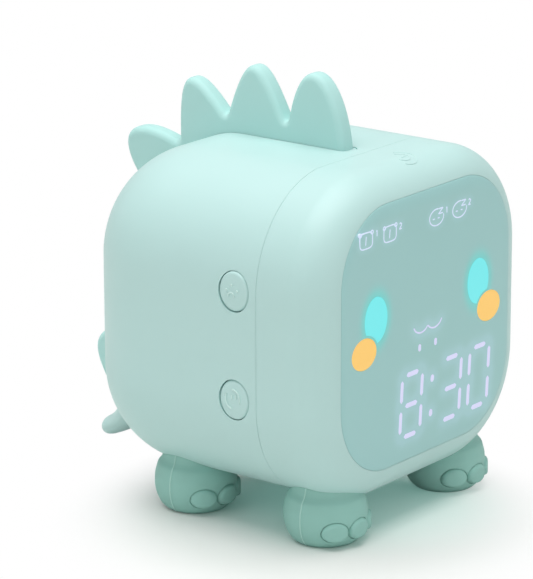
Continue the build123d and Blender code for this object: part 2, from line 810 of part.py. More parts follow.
with BuildPart() as switch_bodies:
    for sign in (-1, 1):
        spots = [(sign * y, z) for y, z in button_spots]
        with BuildSketch(outward_plane(sign, side_board_x)):
            with Locations(*spots):
                Rectangle(switch_size, switch_size)
        extrude(amount=switch_height)
        with BuildSketch(outward_plane(sign, side_board_x + switch_floor)):
            with Locations(*spots):
                Circle(plunger_radius + 0.1)
        extrude(amount=switch_height, mode=Mode.SUBTRACT)
save("switch_bodies", switch_bodies.part)

with BuildPart() as side_boards:
    for sign in (-1, 1):
        with BuildSketch(outward_plane(sign, side_board_x)):
            with Locations((sign * button_y, side_board_z)):
                Rectangle(*side_board_size)
            with Locations(*[(sign * button_y, height) for height in side_post_heights]):
                Circle(screw_radius + screw_gap, mode=Mode.SUBTRACT)
        extrude(amount=-board_thick)
save("side_boards", side_boards.part)

# ---- touch pad under the top of the front shell
with BuildPart() as touch_pad:
    with BuildSketch(level_plane(top_z - wall - slip)):
        with Locations((0, touch_pad_y)):
            Rectangle(*touch_pad_size)
    extrude(amount=-touch_pad_thick)
save("touch_pad", touch_pad.part)

# ---- main board with its chips, clock battery, socket and reset switch
board_front_plane = front_plane(main_board_y - main_board_thick)
with BuildPart() as main_board:
    with BuildSketch(front_plane(main_board_y)):
        with Locations((0, main_board_z)):
            RectangleRounded(*main_board_size, main_board_corner)
        with Locations(*main_posts):
            Circle(screw_radius + screw_gap, mode=Mode.SUBTRACT)
    extrude(amount=main_board_thick)
save("main_board", main_board.part)

with BuildPart() as main_chips:
    with BuildSketch(board_front_plane):
        for spot, size in flat_chips:
            with Locations(spot):
                Rectangle(*size)
    extrude(amount=flat_chip_height)
    with BuildSketch(board_front_plane):
        with Locations(*can_places):
            Circle(can_radius)
    extrude(amount=can_height)
save("main_chips", main_chips.part)

with BuildPart() as clock_cell:
    with BuildSketch(board_front_plane):
        with Locations(clock_cell_place):
            Circle(clock_cell_radius)
    extrude(amount=clock_cell_thick)
    fillet(clock_cell.faces().sort_by(Axis.Y)[0].edges(), 0.4)
save("clock_cell", clock_cell.part)

# each is drawn from the board's rear face, round its own place
port_plane = back_plane(main_board_y) * Location((-port_x, port_z, 0))
reset_plane = back_plane(main_board_y) * Location((-port_x, reset_z, 0))
port_depth = port_end_y - main_board_y
with BuildPart() as usb_shell:
    with BuildSketch(port_plane):
        SlotOverall(*port_size)
        SlotOverall(port_size[0] - 2 * port_wall, port_size[1] - 2 * port_wall, mode=Mode.SUBTRACT)
    extrude(amount=port_depth)
save("usb_shell", usb_shell.part)

with BuildPart() as usb_tongue:
    with BuildSketch(port_plane):
        SlotOverall(port_size[0] - 2 * port_wall - 0.1, port_size[1] - 2 * port_wall - 0.1)
    extrude(amount=port_back_thick)
    with BuildSketch(port_plane):
        Rectangle(*port_tongue_size)
    extrude(amount=port_depth - port_tongue_short)
save("usb_tongue", usb_tongue.part)

with BuildPart() as reset_switch:
    with BuildSketch(reset_plane):
        Rectangle(reset_body, reset_body)
    extrude(amount=reset_height)
    with BuildSketch(reset_plane):
        Circle(reset_pin_radius)
    extrude(amount=reset_pin_height)
save("reset_switch", reset_switch.part)

# ---- speaker on the floor, face down
gasket_z = -top_z + wall + slip
basket_z = gasket_z + gasket_thick
cone_z = basket_z + 0.1


def speaker_plane(z):
    """A level plane at height z, centred on the speaker."""
    return level_plane(z) * Location((0, speaker_y, 0))


with BuildPart() as speaker_gasket:
    with BuildSketch(speaker_plane(gasket_z)):
        Circle(speaker_radius)
        Circle(speaker_radius - gasket_rim, mode=Mode.SUBTRACT)
    extrude(amount=gasket_thick)
save("speaker_gasket", speaker_gasket.part)

with BuildPart() as speaker_basket:
    with BuildSketch(speaker_plane(basket_z)):
        Circle(speaker_radius)
    extrude(amount=basket_height)
    fillet(speaker_basket.faces().sort_by(Axis.Z)[-1].edges(), 1.5)
    with BuildSketch(speaker_plane(basket_z)):
        Circle(speaker_radius - basket_wall)
    extrude(amount=basket_height - basket_wall, mode=Mode.SUBTRACT)
save("speaker_basket", speaker_basket.part)

with BuildPart() as speaker_cone:
    cone_radius = speaker_radius - basket_wall - 0.1
    with BuildSketch(speaker_plane(cone_z)):
        Circle(cone_radius)
    extrude(amount=cone_height, taper=45)
    with BuildSketch(speaker_plane(cone_z)):
        Circle(cone_radius - cone_thick)
    extrude(amount=cone_height - 0.3, taper=45, mode=Mode.SUBTRACT)
save("speaker_cone", speaker_cone.part)

with BuildPart() as speaker_magnet:
    with BuildSketch(speaker_plane(basket_z + basket_height)):
        Circle(magnet_radius)
    extrude(amount=magnet_height)
    fillet(speaker_magnet.faces().sort_by(Axis.Z)[-1].edges(), 0.5)
save("speaker_magnet", speaker_magnet.part)

# ---- rechargeable cell lying across the casing
with BuildPart() as battery:
    with BuildSketch(side_plane(-battery_length / 2)):
        with Locations((battery_y, battery_z)):
            Circle(battery_radius)
    extrude(amount=battery_length)
    fillet(battery.edges().filter_by(GeomType.CIRCLE), 0.8)
save("battery", battery.part)

# ---- flat cable from the display board to the main board, and its two connectors
cable_start = (display_board_rear + connector_height + 0.1, 26.0)
cable_end = (main_board_y - main_board_thick - connector_height - 0.1, 18.0)
with BuildPart() as cable_sockets:
    with BuildSketch(front_plane(display_board_rear + connector_height)):
        with Locations((connector_x, cable_start[1])):
            Rectangle(*connector_size)
    extrude(amount=connector_height)
    with BuildSketch(board_front_plane):
        with Locations((connector_x, cable_end[1])):
            Rectangle(*connector_size)
    extrude(amount=connector_height)
save("cable_sockets", cable_sockets.part)

with BuildPart() as ribbon_cable:
    with BuildSketch(side_plane(connector_x - cable_width / 2)):
        with BuildLine():
            drape = Spline(
                cable_start,
                (-12, 27.5),
                (10, 25.5),
                cable_end,
                tangents=[(1, 0), (1, 0.1), (1, -0.1), (1, 0)],
            )
        trace(drape, cable_thick)
    extrude(amount=cable_width)
save("ribbon_cable", ribbon_cable.part)

# ---- screws
pan_screws("display_screws", back_plane(display_board_rear), display_posts, screw_lengths["display"])
pan_screws("main_board_screws", board_front_plane, main_posts, screw_lengths["main_board"])
tail_spots = [(-x, z) for x, z in tail_screw_places]
pan_screws("tail_screws", front_plane(tail_boss_y), tail_spots, screw_lengths["tail"])
under = Plane((0, case_y, case_z - top_z + screw_recess), x_dir=(1, 0, 0), z_dir=(0, 0, -1))
casing_spots = [(x, -y) for x, y in casing_screw_places]
pan_screws("casing_screws", under, casing_spots, screw_lengths["casing"])
with BuildPart() as side_board_screws:
    for sign in (-1, 1):
        # a plane that faces inwards is the outward plane of the other side at a negative distance
        inner_face = outward_plane(-sign, board_thick - side_board_x)
        for height in side_post_heights:
            with Locations(inner_face * Location((-sign * button_y, height, 0))):
                add(screw(screw_lengths["side_board"]))
save("side_board_screws", side_board_screws.part)
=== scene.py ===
"""Looks of the children's dinosaur alarm clock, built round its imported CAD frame.

Every piece is a surface worked out with numpy in the frame's own metres.  Sizes are given in
millimetres and turned to metres once.  The casing is a rounded cube: a rounded rectangle seen from
the front whose front and rear edges are filleted.  Places on the casing are measured from its
middle, and the middle comes from the frame.
"""

import json
import logging
import math
from dataclasses import dataclass
from enum import Enum

import bpy
import numpy as np
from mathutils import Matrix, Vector

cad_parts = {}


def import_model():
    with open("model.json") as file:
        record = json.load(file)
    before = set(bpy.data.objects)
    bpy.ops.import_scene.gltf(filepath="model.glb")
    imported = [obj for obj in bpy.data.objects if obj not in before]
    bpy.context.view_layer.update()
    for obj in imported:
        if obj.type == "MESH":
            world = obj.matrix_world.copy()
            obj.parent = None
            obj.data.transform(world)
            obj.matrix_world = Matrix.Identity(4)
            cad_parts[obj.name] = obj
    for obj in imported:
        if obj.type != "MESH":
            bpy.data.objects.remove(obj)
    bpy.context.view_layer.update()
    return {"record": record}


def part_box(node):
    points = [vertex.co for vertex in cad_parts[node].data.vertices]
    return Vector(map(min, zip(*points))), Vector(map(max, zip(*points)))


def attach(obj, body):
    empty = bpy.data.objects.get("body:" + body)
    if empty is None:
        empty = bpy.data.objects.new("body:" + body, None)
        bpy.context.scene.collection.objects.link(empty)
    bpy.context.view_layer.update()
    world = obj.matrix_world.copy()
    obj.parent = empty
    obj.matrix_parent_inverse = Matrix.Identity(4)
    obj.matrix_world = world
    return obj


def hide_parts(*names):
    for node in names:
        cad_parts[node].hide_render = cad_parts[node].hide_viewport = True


log = logging.getLogger("dinosaur_clock")
MM = 0.001
ROOT_BODY = "clock"
FOOT_ROWS_MM = {"front": -28.1, "rear": 13.4}  # from the casing's middle towards the back
CLOUD_MM = 12.0  # size of the slow wander in a surface's roughness
GRAIN_HEIGHT_MM = 0.02  # how deep a surface's fine texture goes
LARGE_FACE_WEIGHT = 80  # how strongly large faces lead the shading of small ones
NOISE_SPAN = (0.3, 0.7)  # nearly all of a noise texture's values lie between these
TRIM_GAP_MM = 0.05  # left between the casing and a piece that is trimmed to it
BLUNT_END = 0.2  # half width of a round bar at its very end, as a share of its own
Array = np.ndarray


# ---------------------------------------------------------------- meshes


def make_object(name: str, mesh: bpy.types.Mesh) -> bpy.types.Object:
    """Put a mesh into the scene as an object at the origin.

    Args:
        name: Name of the new object.
        mesh: Its mesh.

    Returns:
        The new object.
    """
    piece = bpy.data.objects.new(name, mesh)
    bpy.context.scene.collection.objects.link(piece)
    return piece


def grid_piece(name: str, points: Array, wrap_rows: bool = False, wrap_columns: bool = True,
               cap_ends: bool = False) -> bpy.types.Object:
    """Make a surface from a grid of points.

    Each cell of the grid becomes one quad, with its corners counted so that the face looks along
    the cross product of the row step and the column step.

    Args:
        name: Name of the new object.
        points: Array of shape (rows, columns, 3), in metres.
        wrap_rows: Join the last row to the first.
        wrap_columns: Join the last column to the first.
        cap_ends: Close the first and the last row with one face each.

    Returns:
        The new object.
    """
    rows, columns = points.shape[:2]
    row = np.arange(rows if wrap_rows else rows - 1)[:, None]
    column = np.arange(columns if wrap_columns else columns - 1)[None, :]
    next_row, next_column = (row + 1) % rows, (column + 1) % columns
    quads = np.stack(
        [
            row * columns + column,
            next_row * columns + column,
            next_row * columns + next_column,
            row * columns + next_column,
        ],
        axis=-1,
    ).reshape(-1, 4)
    faces = quads.tolist()
    if cap_ends:
        last = (rows - 1) * columns
        faces.append(list(range(columns)))
        faces.append(list(range(last + columns - 1, last - 1, -1)))
    mesh = bpy.data.meshes.new(name)
    mesh.from_pydata(points.reshape(-1, 3).tolist(), [], faces)
    mesh.validate()
    return make_object(name, mesh)


def evaluated(piece: bpy.types.Object) -> bpy.types.Object:
    """Apply a piece's modifiers to its mesh.

    Args:
        piece: The object whose modifiers are live.

    Returns:
        The same object, without modifiers.
    """
    bpy.context.view_layer.update()
    graph = bpy.context.evaluated_depsgraph_get()
    mesh = bpy.data.meshes.new_from_object(piece.evaluated_get(graph))
    piece.modifiers.clear()
    piece.data = mesh
    mesh.name = piece.name
    return piece


def merge(piece: bpy.types.Object, distance: float = 1e-6) -> bpy.types.Object:
    """Join vertices that lie on one another, which closes poles and seams.

    Args:
        piece: The piece.
        distance: How near two vertices lie when they are joined, in metres.

    Returns:
        The same piece.
    """
    weld = piece.modifiers.new("weld", "WELD")
    weld.merge_threshold = distance
    return evaluated(piece)


class Cut(Enum):
    """How one closed piece works on another."""

    TAKE_AWAY = "DIFFERENCE"
    JOIN = "UNION"


def carve(piece: bpy.types.Object, tool: bpy.types.Object, how: Cut = Cut.TAKE_AWAY) -> bpy.types.Object:
    """Cut a closed piece with another one, or join the two; the other one is used up.

    Args:
        piece: The piece that is changed.
        tool: The closed piece that does the work; it is deleted.
        how: What is done.

    Returns:
        The changed piece.
    """
    work = piece.modifiers.new("carve", "BOOLEAN")
    work.operation = how.value
    work.solver = "EXACT"
    work.object = tool
    evaluated(piece)
    bpy.data.objects.remove(tool)
    return piece


def gather(name: str, pieces: list[bpy.types.Object]) -> bpy.types.Object:
    """Put several meshes into one object without joining their surfaces.

    Args:
        name: Name of the new object.
        pieces: Objects that are used up.

    Returns:
        One object with all their vertices and faces.
    """
    points, faces, start = [], [], 0
    for piece in pieces:
        flat = np.empty(3 * len(piece.data.vertices))
        piece.data.vertices.foreach_get("co", flat)
        points.append(flat.reshape(-1, 3))
        faces += [[start + index for index in face.vertices] for face in piece.data.polygons]
        start += len(points[-1])
        bpy.data.objects.remove(piece)
    mesh = bpy.data.meshes.new(name)
    mesh.from_pydata(np.concatenate(points).tolist(), [], faces)
    return make_object(name, mesh)


def smooth(piece: bpy.types.Object, sharp_degrees: float = 35.0) -> bpy.types.Object:
    """Shade a piece smooth, and keep steep edges crisp.

    Args:
        piece: The piece.
        sharp_degrees: Edges steeper than this stay crisp.

    Returns:
        The same piece.
    """
    piece.data.shade_smooth()
    piece.data.set_sharp_from_angle(angle=math.radians(sharp_degrees))
    return piece


def weigh_normals(piece: bpy.types.Object) -> bpy.types.Object:
    """Let the large faces lead where they meet small ones, so that flats stay flat.

    Args:
        piece: The piece, already shaded smooth.

    Returns:
        The same piece.
    """
    weights = piece.modifiers.new("weigh", "WEIGHTED_NORMAL")
    weights.keep_sharp = True
    weights.weight = LARGE_FACE_WEIGHT
    return evaluated(piece)


# ---------------------------------------------------------------- outlines and sweeps


@dataclass(frozen=True)
class Face:
    """A flat place on the object with its own two directions, in metres."""

    origin: tuple[float, float, float]
    across: tuple[float, float, float]
    up: tuple[float, float, float]

    def place(self, flat: Array, height: Array | float = 0.0) -> Array:
        """Put flat points into space.

        A point is origin + first * across + second * up + height * (across x up).

        Args:
            flat: Array of shape (..., 2), in millimetres.
            height: Height above the face in millimetres, one number or an array.

        Returns:
            Array of shape (..., 3), in metres.
        """
        across, up = np.array(self.across), np.array(self.up)
        normal = np.cross(across, up)
        lifted = np.asarray(height)[..., None] * normal
        return np.array(self.origin) + MM * (flat[..., :1] * across + flat[..., 1:] * up + lifted)

    def plate(self, name: str, outline: Array, low: float, high: float,
              edge_round: float = 0.0) -> bpy.types.Object:
        """A flat plate with the outline, from one height to another.

        Its rows are the outline at the low height, then at the high height.  With a rounded edge
        the top rows follow a quarter circle, each drawn in along the outline's own normals.

        Args:
            name: Name of the new object.
            outline: Array of shape (n, 2), counter-clockwise, in millimetres.
            low: Height of the underside.
            high: Height of the top.
            edge_round: Radius of the rounded upper edge.

        Returns:
            The closed plate.
        """
        if not edge_round:
            rows = [self.place(outline, low), self.place(outline, high)]
        else:
            turn = np.linspace(0.0, math.pi / 2, 6)
            inset = edge_round * (1 - np.cos(turn))
            level = high - edge_round * (1 - np.sin(turn))
            rows = [self.place(outline, low)]
            rows += [self.place(drawn_in(outline, i), h) for i, h in zip(inset, level)]
        return grid_piece(name, np.stack(rows)[:, ::-1], cap_ends=True)

    def bar(self, name: str, path: Array, width: float, low: float, high: float,
            closed: bool = False, lift: Array | float = 0.0, crown: float = 0.0) -> bpy.types.Object:
        """A bar of constant width with round ends along a path on the face.

        Its section is a rectangle whose upper corners drop by the crown.  Near an open end the
        half width follows a half circle, so the bar ends round.

        Args:
            name: Name of the new object.
            path: Array of shape (n, 2), in millimetres.
            width: Width of the bar.
            low: Height of its underside.
            high: Height of its top.
            closed: The path runs back to its start.
            lift: Height of the ground under each point of the path, for a face that isn't flat.
            crown: How far the upper corners lie below the top.

        Returns:
            The closed bar.
        """
        ends = (np.roll(path, -1, axis=0), np.roll(path, 1, axis=0))
        along = ends[0] - ends[1] if closed else np.gradient(path, axis=0)
        along /= np.linalg.norm(along, axis=1, keepdims=True)
        aside = np.stack([-along[:, 1], along[:, 0]], axis=1)
        half = np.full(len(path), width / 2)
        if not closed:
            run = np.concatenate([[0.0], np.cumsum(np.linalg.norm(np.diff(path, axis=0), axis=1))])
            near = np.minimum(np.minimum(run, run[-1] - run) / (width / 2), 1.0)
            half = width / 2 * np.sqrt(np.maximum(1 - (1 - near) ** 2, BLUNT_END**2))
        ground = np.broadcast_to(lift, (len(path),))
        section = ((-1, low), (-1, high - crown), (-0.5, high), (0.5, high), (1, high - crown), (1, low))
        sideways = aside * half[:, None]
        columns = [self.place(path + share * sideways, ground + level) for share, level in section]
        return grid_piece(name, np.stack(columns, axis=1), wrap_rows=closed, cap_ends=not closed)


def drawn_in(outline: Array, distance: float) -> Array:
    """Move each point of a counter-clockwise outline inwards along its normal.

    Args:
        outline: Array of shape (n, 2).
        distance: How far, in the outline's own unit.

    Returns:
        The moved outline.
    """
    along = np.roll(outline, -1, axis=0) - np.roll(outline, 1, axis=0)
    along /= np.linalg.norm(along, axis=1, keepdims=True)
    return outline + distance * np.stack([-along[:, 1], along[:, 0]], axis=1)


def ellipse(centre: tuple[float, float], radii: tuple[float, float], start: float = 0.0,
            end: float = 360.0, count: int = 72) -> Array:
    """Points on an ellipse: centre + (radius cos t, radius sin t) for t from start to end.

    Args:
        centre: Its middle.
        radii: Its two radii.
        start: First angle in degrees.
        end: Last angle in degrees; a full turn leaves the repeated point out.
        count: Number of points.

    Returns:
        Array of shape (count, 2).
    """
    whole = abs(end - start) >= 360.0
    angle = np.radians(np.linspace(start, end, count, endpoint=not whole))
    return np.array(centre) + np.stack([radii[0] * np.cos(angle), radii[1] * np.sin(angle)], axis=1)


def polyline(points: list[tuple[float, float]], count: int = 40) -> Array:
    """Points spaced evenly along straight runs between corners.

    Args:
        points: The corners.
        count: Number of points.

    Returns:
        Array of shape (count, 2).
    """
    corners = np.array(points, dtype=float)
    run = np.concatenate([[0.0], np.cumsum(np.linalg.norm(np.diff(corners, axis=0), axis=1))])
    places = np.linspace(0.0, run[-1], count)
    return np.stack([np.interp(places, run, corners[:, axis]) for axis in (0, 1)], axis=1)


def smooth_through(points: Array, count: int) -> Array:
    """A smooth curve through points: a centripetal Catmull-Rom spline.

    Between two points it blends the two parabolas through the neighbours, which is the cubic
    Hermite curve whose tangents are the chord-weighted differences of the neighbours.

    Args:
        points: Array of shape (n, k).
        count: Number of points on the curve.

    Returns:
        Array of shape (count, k).
    """
    points = np.asarray(points, dtype=float)
    step = np.linalg.norm(np.diff(points, axis=0), axis=1) ** 0.5
    knot = np.concatenate([[0.0], np.cumsum(step)])
    tangent = np.gradient(points, knot, axis=0)
    where = np.linspace(0.0, knot[-1], count)
    span = np.clip(np.searchsorted(knot, where, side="right") - 1, 0, len(knot) - 2)
    width = (knot[span + 1] - knot[span])[:, None]
    t = (where - knot[span])[:, None] / width
    return (
        (2 * t**3 - 3 * t**2 + 1) * points[span]
        + (t**3 - 2 * t**2 + t) * width * tangent[span]
        + (3 * t**2 - 2 * t**3) * points[span + 1]
        + (t**3 - t**2) * width * tangent[span + 1]
    )


def bezier(points: Array, count: int) -> Array:
    """A cubic Bezier curve: the sum of its four points times the Bernstein polynomials.

    Args:
        points: The four points, shape (4, k).
        count: Number of points on the curve.

    Returns:
        Array of shape (count, k).
    """
    t = np.linspace(0.0, 1.0, count)[:, None]
    first, second, third, fourth = np.asarray(points, dtype=float)
    return (1 - t) ** 3 * first + 3 * t * (1 - t) ** 2 * second + 3 * t**2 * (1 - t) * third + t**3 * fourth


def polyline_slot(length: float, width: float, count: int = 16) -> Array:
    """A slot's outline: two half circles joined by straight sides, counter-clockwise.

    Args:
        length: Its length over both ends.
        width: Its width.
        count: Points on each half circle.

    Returns:
        Array of shape (2 * count, 2).
    """
    reach = (length - width) / 2
    right = ellipse((reach, 0), (width / 2,) * 2, -90, 90, count)
    left = ellipse((-reach, 0), (width / 2,) * 2, 90, 270, count)
    return np.concatenate([right, left])


def spin(degrees: float) -> Array:
    """The matrix that turns row points counter-clockwise: ((cos, sin), (-sin, cos))."""
    turn = math.radians(degrees)
    return np.array([[math.cos(turn), math.sin(turn)], [-math.sin(turn), math.cos(turn)]])


# ---------------------------------------------------------------- finishes


def linear(code: str) -> tuple[float, float, float, float]:
    """Turn an sRGB hex colour to linear light.

    Each channel c becomes c / 12.92 below 0.04045, and ((c + 0.055) / 1.055) ** 2.4 above.

    Args:
        code: Six hex digits.

    Returns:
        Red, green, blue and an alpha of one.
    """
    channels = np.array([int(code[i : i + 2], 16) for i in (0, 2, 4)]) / 255.0
    light = np.where(channels <= 0.04045, channels / 12.92, ((channels + 0.055) / 1.055) ** 2.4)
    return (*light.tolist(), 1.0)


def add_node(tree: bpy.types.NodeTree, kind: str, settings: dict | None = None,
             **inputs: object) -> bpy.types.Node:
    """Add a shader node with its settings and inputs.

    Args:
        tree: The material's or world's node tree.
        kind: The node's type name.
        settings: Attributes of the node to set.
        **inputs: Socket names, with spaces as underscores, each a value or a socket to link from.

    Returns:
        The new node.
    """
    node = tree.nodes.new(kind)
    for key, value in (settings or {}).items():
        setattr(node, key, value)
    for key, value in inputs.items():
        socket = node.inputs[int(key[1:])] if key[1:].isdigit() else node.inputs[key.replace("_", " ")]
        if isinstance(value, bpy.types.NodeSocket):
            tree.links.new(value, socket)
        else:
            socket.default_value = value
    return node


def empty_tree(owner: bpy.types.Material | bpy.types.World) -> bpy.types.NodeTree:
    """Give a material or a world a node tree without nodes.

    Args:
        owner: The material or world.

    Returns:
        Its tree.
    """
    owner.use_nodes = True
    owner.node_tree.nodes.clear()
    return owner.node_tree


@dataclass(frozen=True)
class Finish:
    """One material, named for what it is and how its surface was made.

    Attributes:
        name: Material name.
        colour: sRGB hex colour.
        roughness: Middle of the surface's roughness.
        ior: Index of refraction.
        metallic: 1 for metal.
        grain_mm: Size of the surface's texture grains.
        grain_depth: Strength of the texture's bump, 0 to 1.
        mottle: How far roughness wanders either way.
        glow: sRGB hex colour of its own light, or empty.
        glow_strength: Strength of that light.
        subsurface: Share of light that passes under the skin.
        reach_mm: How far light travels under the skin.
        coat: Weight of a clear top coat.
    """

    name: str
    colour: str
    roughness: float = 0.5
    ior: float = 1.5
    metallic: float = 0.0
    grain_mm: float = 0.35
    grain_depth: float = 0.0
    mottle: float = 0.04
    glow: str = ""
    glow_strength: float = 0.0
    subsurface: float = 0.0
    reach_mm: float = 2.0
    coat: float = 0.0

    def shader(self, tree: bpy.types.NodeTree) -> bpy.types.Node:
        """Add the shader of this finish.

        Args:
            tree: An emptied node tree.

        Returns:
            The shader's node.
        """
        place = add_node(tree, "ShaderNodeTexCoord").outputs["Object"]
        cloud = add_node(tree, "ShaderNodeTexNoise", Vector=place, Scale=1.0 / (CLOUD_MM * MM), Detail=2.0)
        rough = add_node(
            tree, "ShaderNodeMapRange", _0=cloud.outputs["Fac"], _1=NOISE_SPAN[0], _2=NOISE_SPAN[1],
            _3=self.roughness - self.mottle, _4=self.roughness + self.mottle,
        )
        surface = add_node(
            tree, "ShaderNodeBsdfPrincipled", Base_Color=linear(self.colour), Metallic=self.metallic,
            Roughness=rough.outputs[0],
        )
        if not self.metallic:
            surface.inputs["IOR"].default_value = self.ior
        if self.subsurface:
            surface.inputs["Subsurface Weight"].default_value = self.subsurface
            surface.inputs["Subsurface Radius"].default_value = (0.8, 1.0, 1.0)
            surface.inputs["Subsurface Scale"].default_value = self.reach_mm * MM
        if self.coat:
            surface.inputs["Coat Weight"].default_value = self.coat
        if self.glow:
            surface.inputs["Emission Color"].default_value = linear(self.glow)
            surface.inputs["Emission Strength"].default_value = self.glow_strength
        if self.grain_depth:
            scale = 1.0 / (self.grain_mm * MM)
            grain = add_node(tree, "ShaderNodeTexNoise", Vector=place, Scale=scale, Detail=1.0)
            bump = add_node(
                tree, "ShaderNodeBump", Strength=self.grain_depth, Distance=GRAIN_HEIGHT_MM * MM,
                Height=grain.outputs["Fac"],
            )
            tree.links.new(bump.outputs["Normal"], surface.inputs["Normal"])
        return surface

    def material(self) -> bpy.types.Material:
        """Make the finish's material, or find it where it is made already.

        Returns:
            The material.
        """
        known = bpy.data.materials.get(self.name)
        if known:
            return known
        made = bpy.data.materials.new(self.name)
        tree = empty_tree(made)
        add_node(tree, "ShaderNodeOutputMaterial", Surface=self.shader(tree).outputs[0])
        return made


@dataclass(frozen=True)
class BacklitFinish(Finish):
    """A finish with marks shining through it.

    Two mesh attributes say where: mark_light is how much light the marks spread into the surface,
    and eye_light how far its colour turns to a painted glow round the eyes, both from 0 to 1.

    Attributes:
        mark_light: sRGB hex colour of the marks' spread light.
        painted_eye_glow: sRGB hex colour of the painted glow right beside the eyes.
    """

    mark_light: str = "38384A"
    painted_eye_glow: str = "80DEDA"

    def shader(self, tree: bpy.types.NodeTree) -> bpy.types.Node:
        """Add the shader, with its own light and its colour mixed by the two attributes.

        Args:
            tree: An emptied node tree.

        Returns:
            The shader's node.
        """
        surface = super().shader(tree)
        mixes = (
            ("mark_light", "Emission Color", "000000", self.mark_light),
            # painted light: close round the eyes the base colour turns to the eyes' glow
            ("eye_light", "Base Color", self.colour, self.painted_eye_glow),
        )
        for attribute, socket, first, second in mixes:
            share = add_node(tree, "ShaderNodeAttribute", {"attribute_name": attribute}).outputs["Fac"]
            mix = add_node(
                tree, "ShaderNodeMix", {"data_type": "RGBA"}, _0=share, _6=linear(first), _7=linear(second)
            )
            tree.links.new(mix.outputs[2], surface.inputs[socket])
        surface.inputs["Emission Strength"].default_value = 1.0
        return surface


# Moulded ABS, finely eroded mould: soft, wide highlights and an even pale colour.
CASING_ABS = Finish("moulded_abs_casing", "BADCD9", roughness=0.42, grain_depth=0.10, subsurface=0.08)
# The same ABS on small caps, a touch smoother from handling.
BUTTON_ABS = Finish("moulded_abs_buttons", "BADCD9", roughness=0.40, grain_depth=0.08)
# The raised symbols on the caps, smoother than the caps; their paler colour is a painted highlight on their
# crowns.
SYMBOL_ABS = Finish("polished_abs_symbols_painted_highlight", "C9E6E2", roughness=0.28)
# Soft-touch silicone with light under its skin: no sharp highlight, edges a little bright.
CREST_SILICONE = Finish("moulded_silicone_crest", "B2DDD9", roughness=0.58, subsurface=0.15, reach_mm=2.0)
# Moulded rubber, plain and dull.
FOOT_RUBBER = Finish("moulded_rubber_feet", "93C5BB", roughness=0.62, grain_depth=0.12, subsurface=0.05)
# The same rubber on the thin mould rib, made smoother by the mould's edge; its paler colour is a painted
# highlight along the rib.
RIB_RUBBER = Finish("rubber_rib_painted_highlight", "B6DED5", roughness=0.4, subsurface=0.05)
# Tinted acrylic with a fine matt print on its back: even colour under a soft sheen.
# Its glow round the marks and its lighter colour round the eyes are painted light, carried by two mesh
# attributes.
WINDOW_ACRYLIC = BacklitFinish("tinted_acrylic_window", "A1CFCE", roughness=0.30, mottle=0.01)
# Opal acrylic with a lamp behind it: even, bright, hardly shaded.
EYE_LENS = Finish("lit_acrylic_eye", "4FC8C5", roughness=0.35, glow="88EEFA", glow_strength=0.39)
CHEEK_LENS = Finish("lit_acrylic_cheek", "DDA44A", roughness=0.35, glow="FFDF84", glow_strength=0.37)
LIT_MARK = Finish("lit_acrylic_mark", "A8A8B8", roughness=0.4, glow="D7D7FF", glow_strength=0.53)
SYMBOL_MARK = Finish("lit_acrylic_symbol", "A8B4BE", roughness=0.4, glow="D4DCFA", glow_strength=0.56)
# Inner pieces, seen only through the openings, in the plain finishes of their trade.
FRAME_PLASTIC = Finish("moulded_white_polystyrene", "EDEDEA", roughness=0.6)
LIGHT_GUIDE = Finish("moulded_opal_acrylic", "E6F0EE", roughness=0.45, subsurface=0.3)
BOARD_LAMINATE = Finish("solder_masked_laminate", "1C5434", roughness=0.38, coat=0.2)
CHIP_EPOXY = Finish("moulded_black_epoxy", "17171A", roughness=0.5)
LAMP_CHIP = Finish("moulded_lamp_resin", "F2EFCB", roughness=0.4)
PLUNGER_NYLON = Finish("moulded_black_nylon", "29292B", roughness=0.45)
PLATED_STEEL = Finish("nickel_plated_steel", "B8BABD", roughness=0.28, metallic=1.0)
SCREW_STEEL = Finish("zinc_plated_steel_screw", "8C8E93", roughness=0.35, metallic=1.0)
SPEAKER_STEEL = Finish("black_painted_steel", "333335", roughness=0.45)
SPEAKER_PAPER = Finish("pressed_paper_cone", "242426", roughness=0.85, grain_mm=0.6, grain_depth=0.3)
CELL_WRAP = Finish("shrunk_vinyl_sleeve", "3361B2", roughness=0.35)
CABLE_VINYL = Finish("extruded_grey_vinyl", "D3D3CC", roughness=0.5)

SLOT_FINISHES = {
    "casing_plastic": CASING_ABS,
    "crest_silicone": CREST_SILICONE,
    "foot_rubber": FOOT_RUBBER,
    "window_plastic": WINDOW_ACRYLIC,
    "eye_lens": EYE_LENS,
    "cheek_lens": CHEEK_LENS,
    "lit_mark": LIT_MARK,
    "button_plastic": BUTTON_ABS,
    "frame_plastic": FRAME_PLASTIC,
    "light_guide": LIGHT_GUIDE,
    "circuit_board": BOARD_LAMINATE,
    "chip_plastic": CHIP_EPOXY,
    "lamp_chip": LAMP_CHIP,
    "plunger_plastic": PLUNGER_NYLON,
    "socket_metal": PLATED_STEEL,
    "screw_steel": SCREW_STEEL,
    "speaker_metal": SPEAKER_STEEL,
    "speaker_paper": SPEAKER_PAPER,
    "cell_wrap": CELL_WRAP,
    "cable_plastic": CABLE_VINYL,
}


def dress(piece: bpy.types.Object, finish: Finish, stands_for: tuple[str, ...] = (),
          body: str = ROOT_BODY) -> bpy.types.Object:
    """Give a finished piece its material and its body, and hide the CAD nodes that it stands for.

    Args:
        piece: The piece.
        finish: Its material.
        stands_for: CAD nodes that it replaces.
        body: The body it moves with.

    Returns:
        The piece.
    """
    piece.data.materials.clear()
    piece.data.materials.append(finish.material())
    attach(piece, body)
    if stands_for:
        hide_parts(*stands_for)
    log.info("%s: %d faces on %s", piece.name, len(piece.data.polygons), body)
    return piece


# ---------------------------------------------------------------- the casing's form


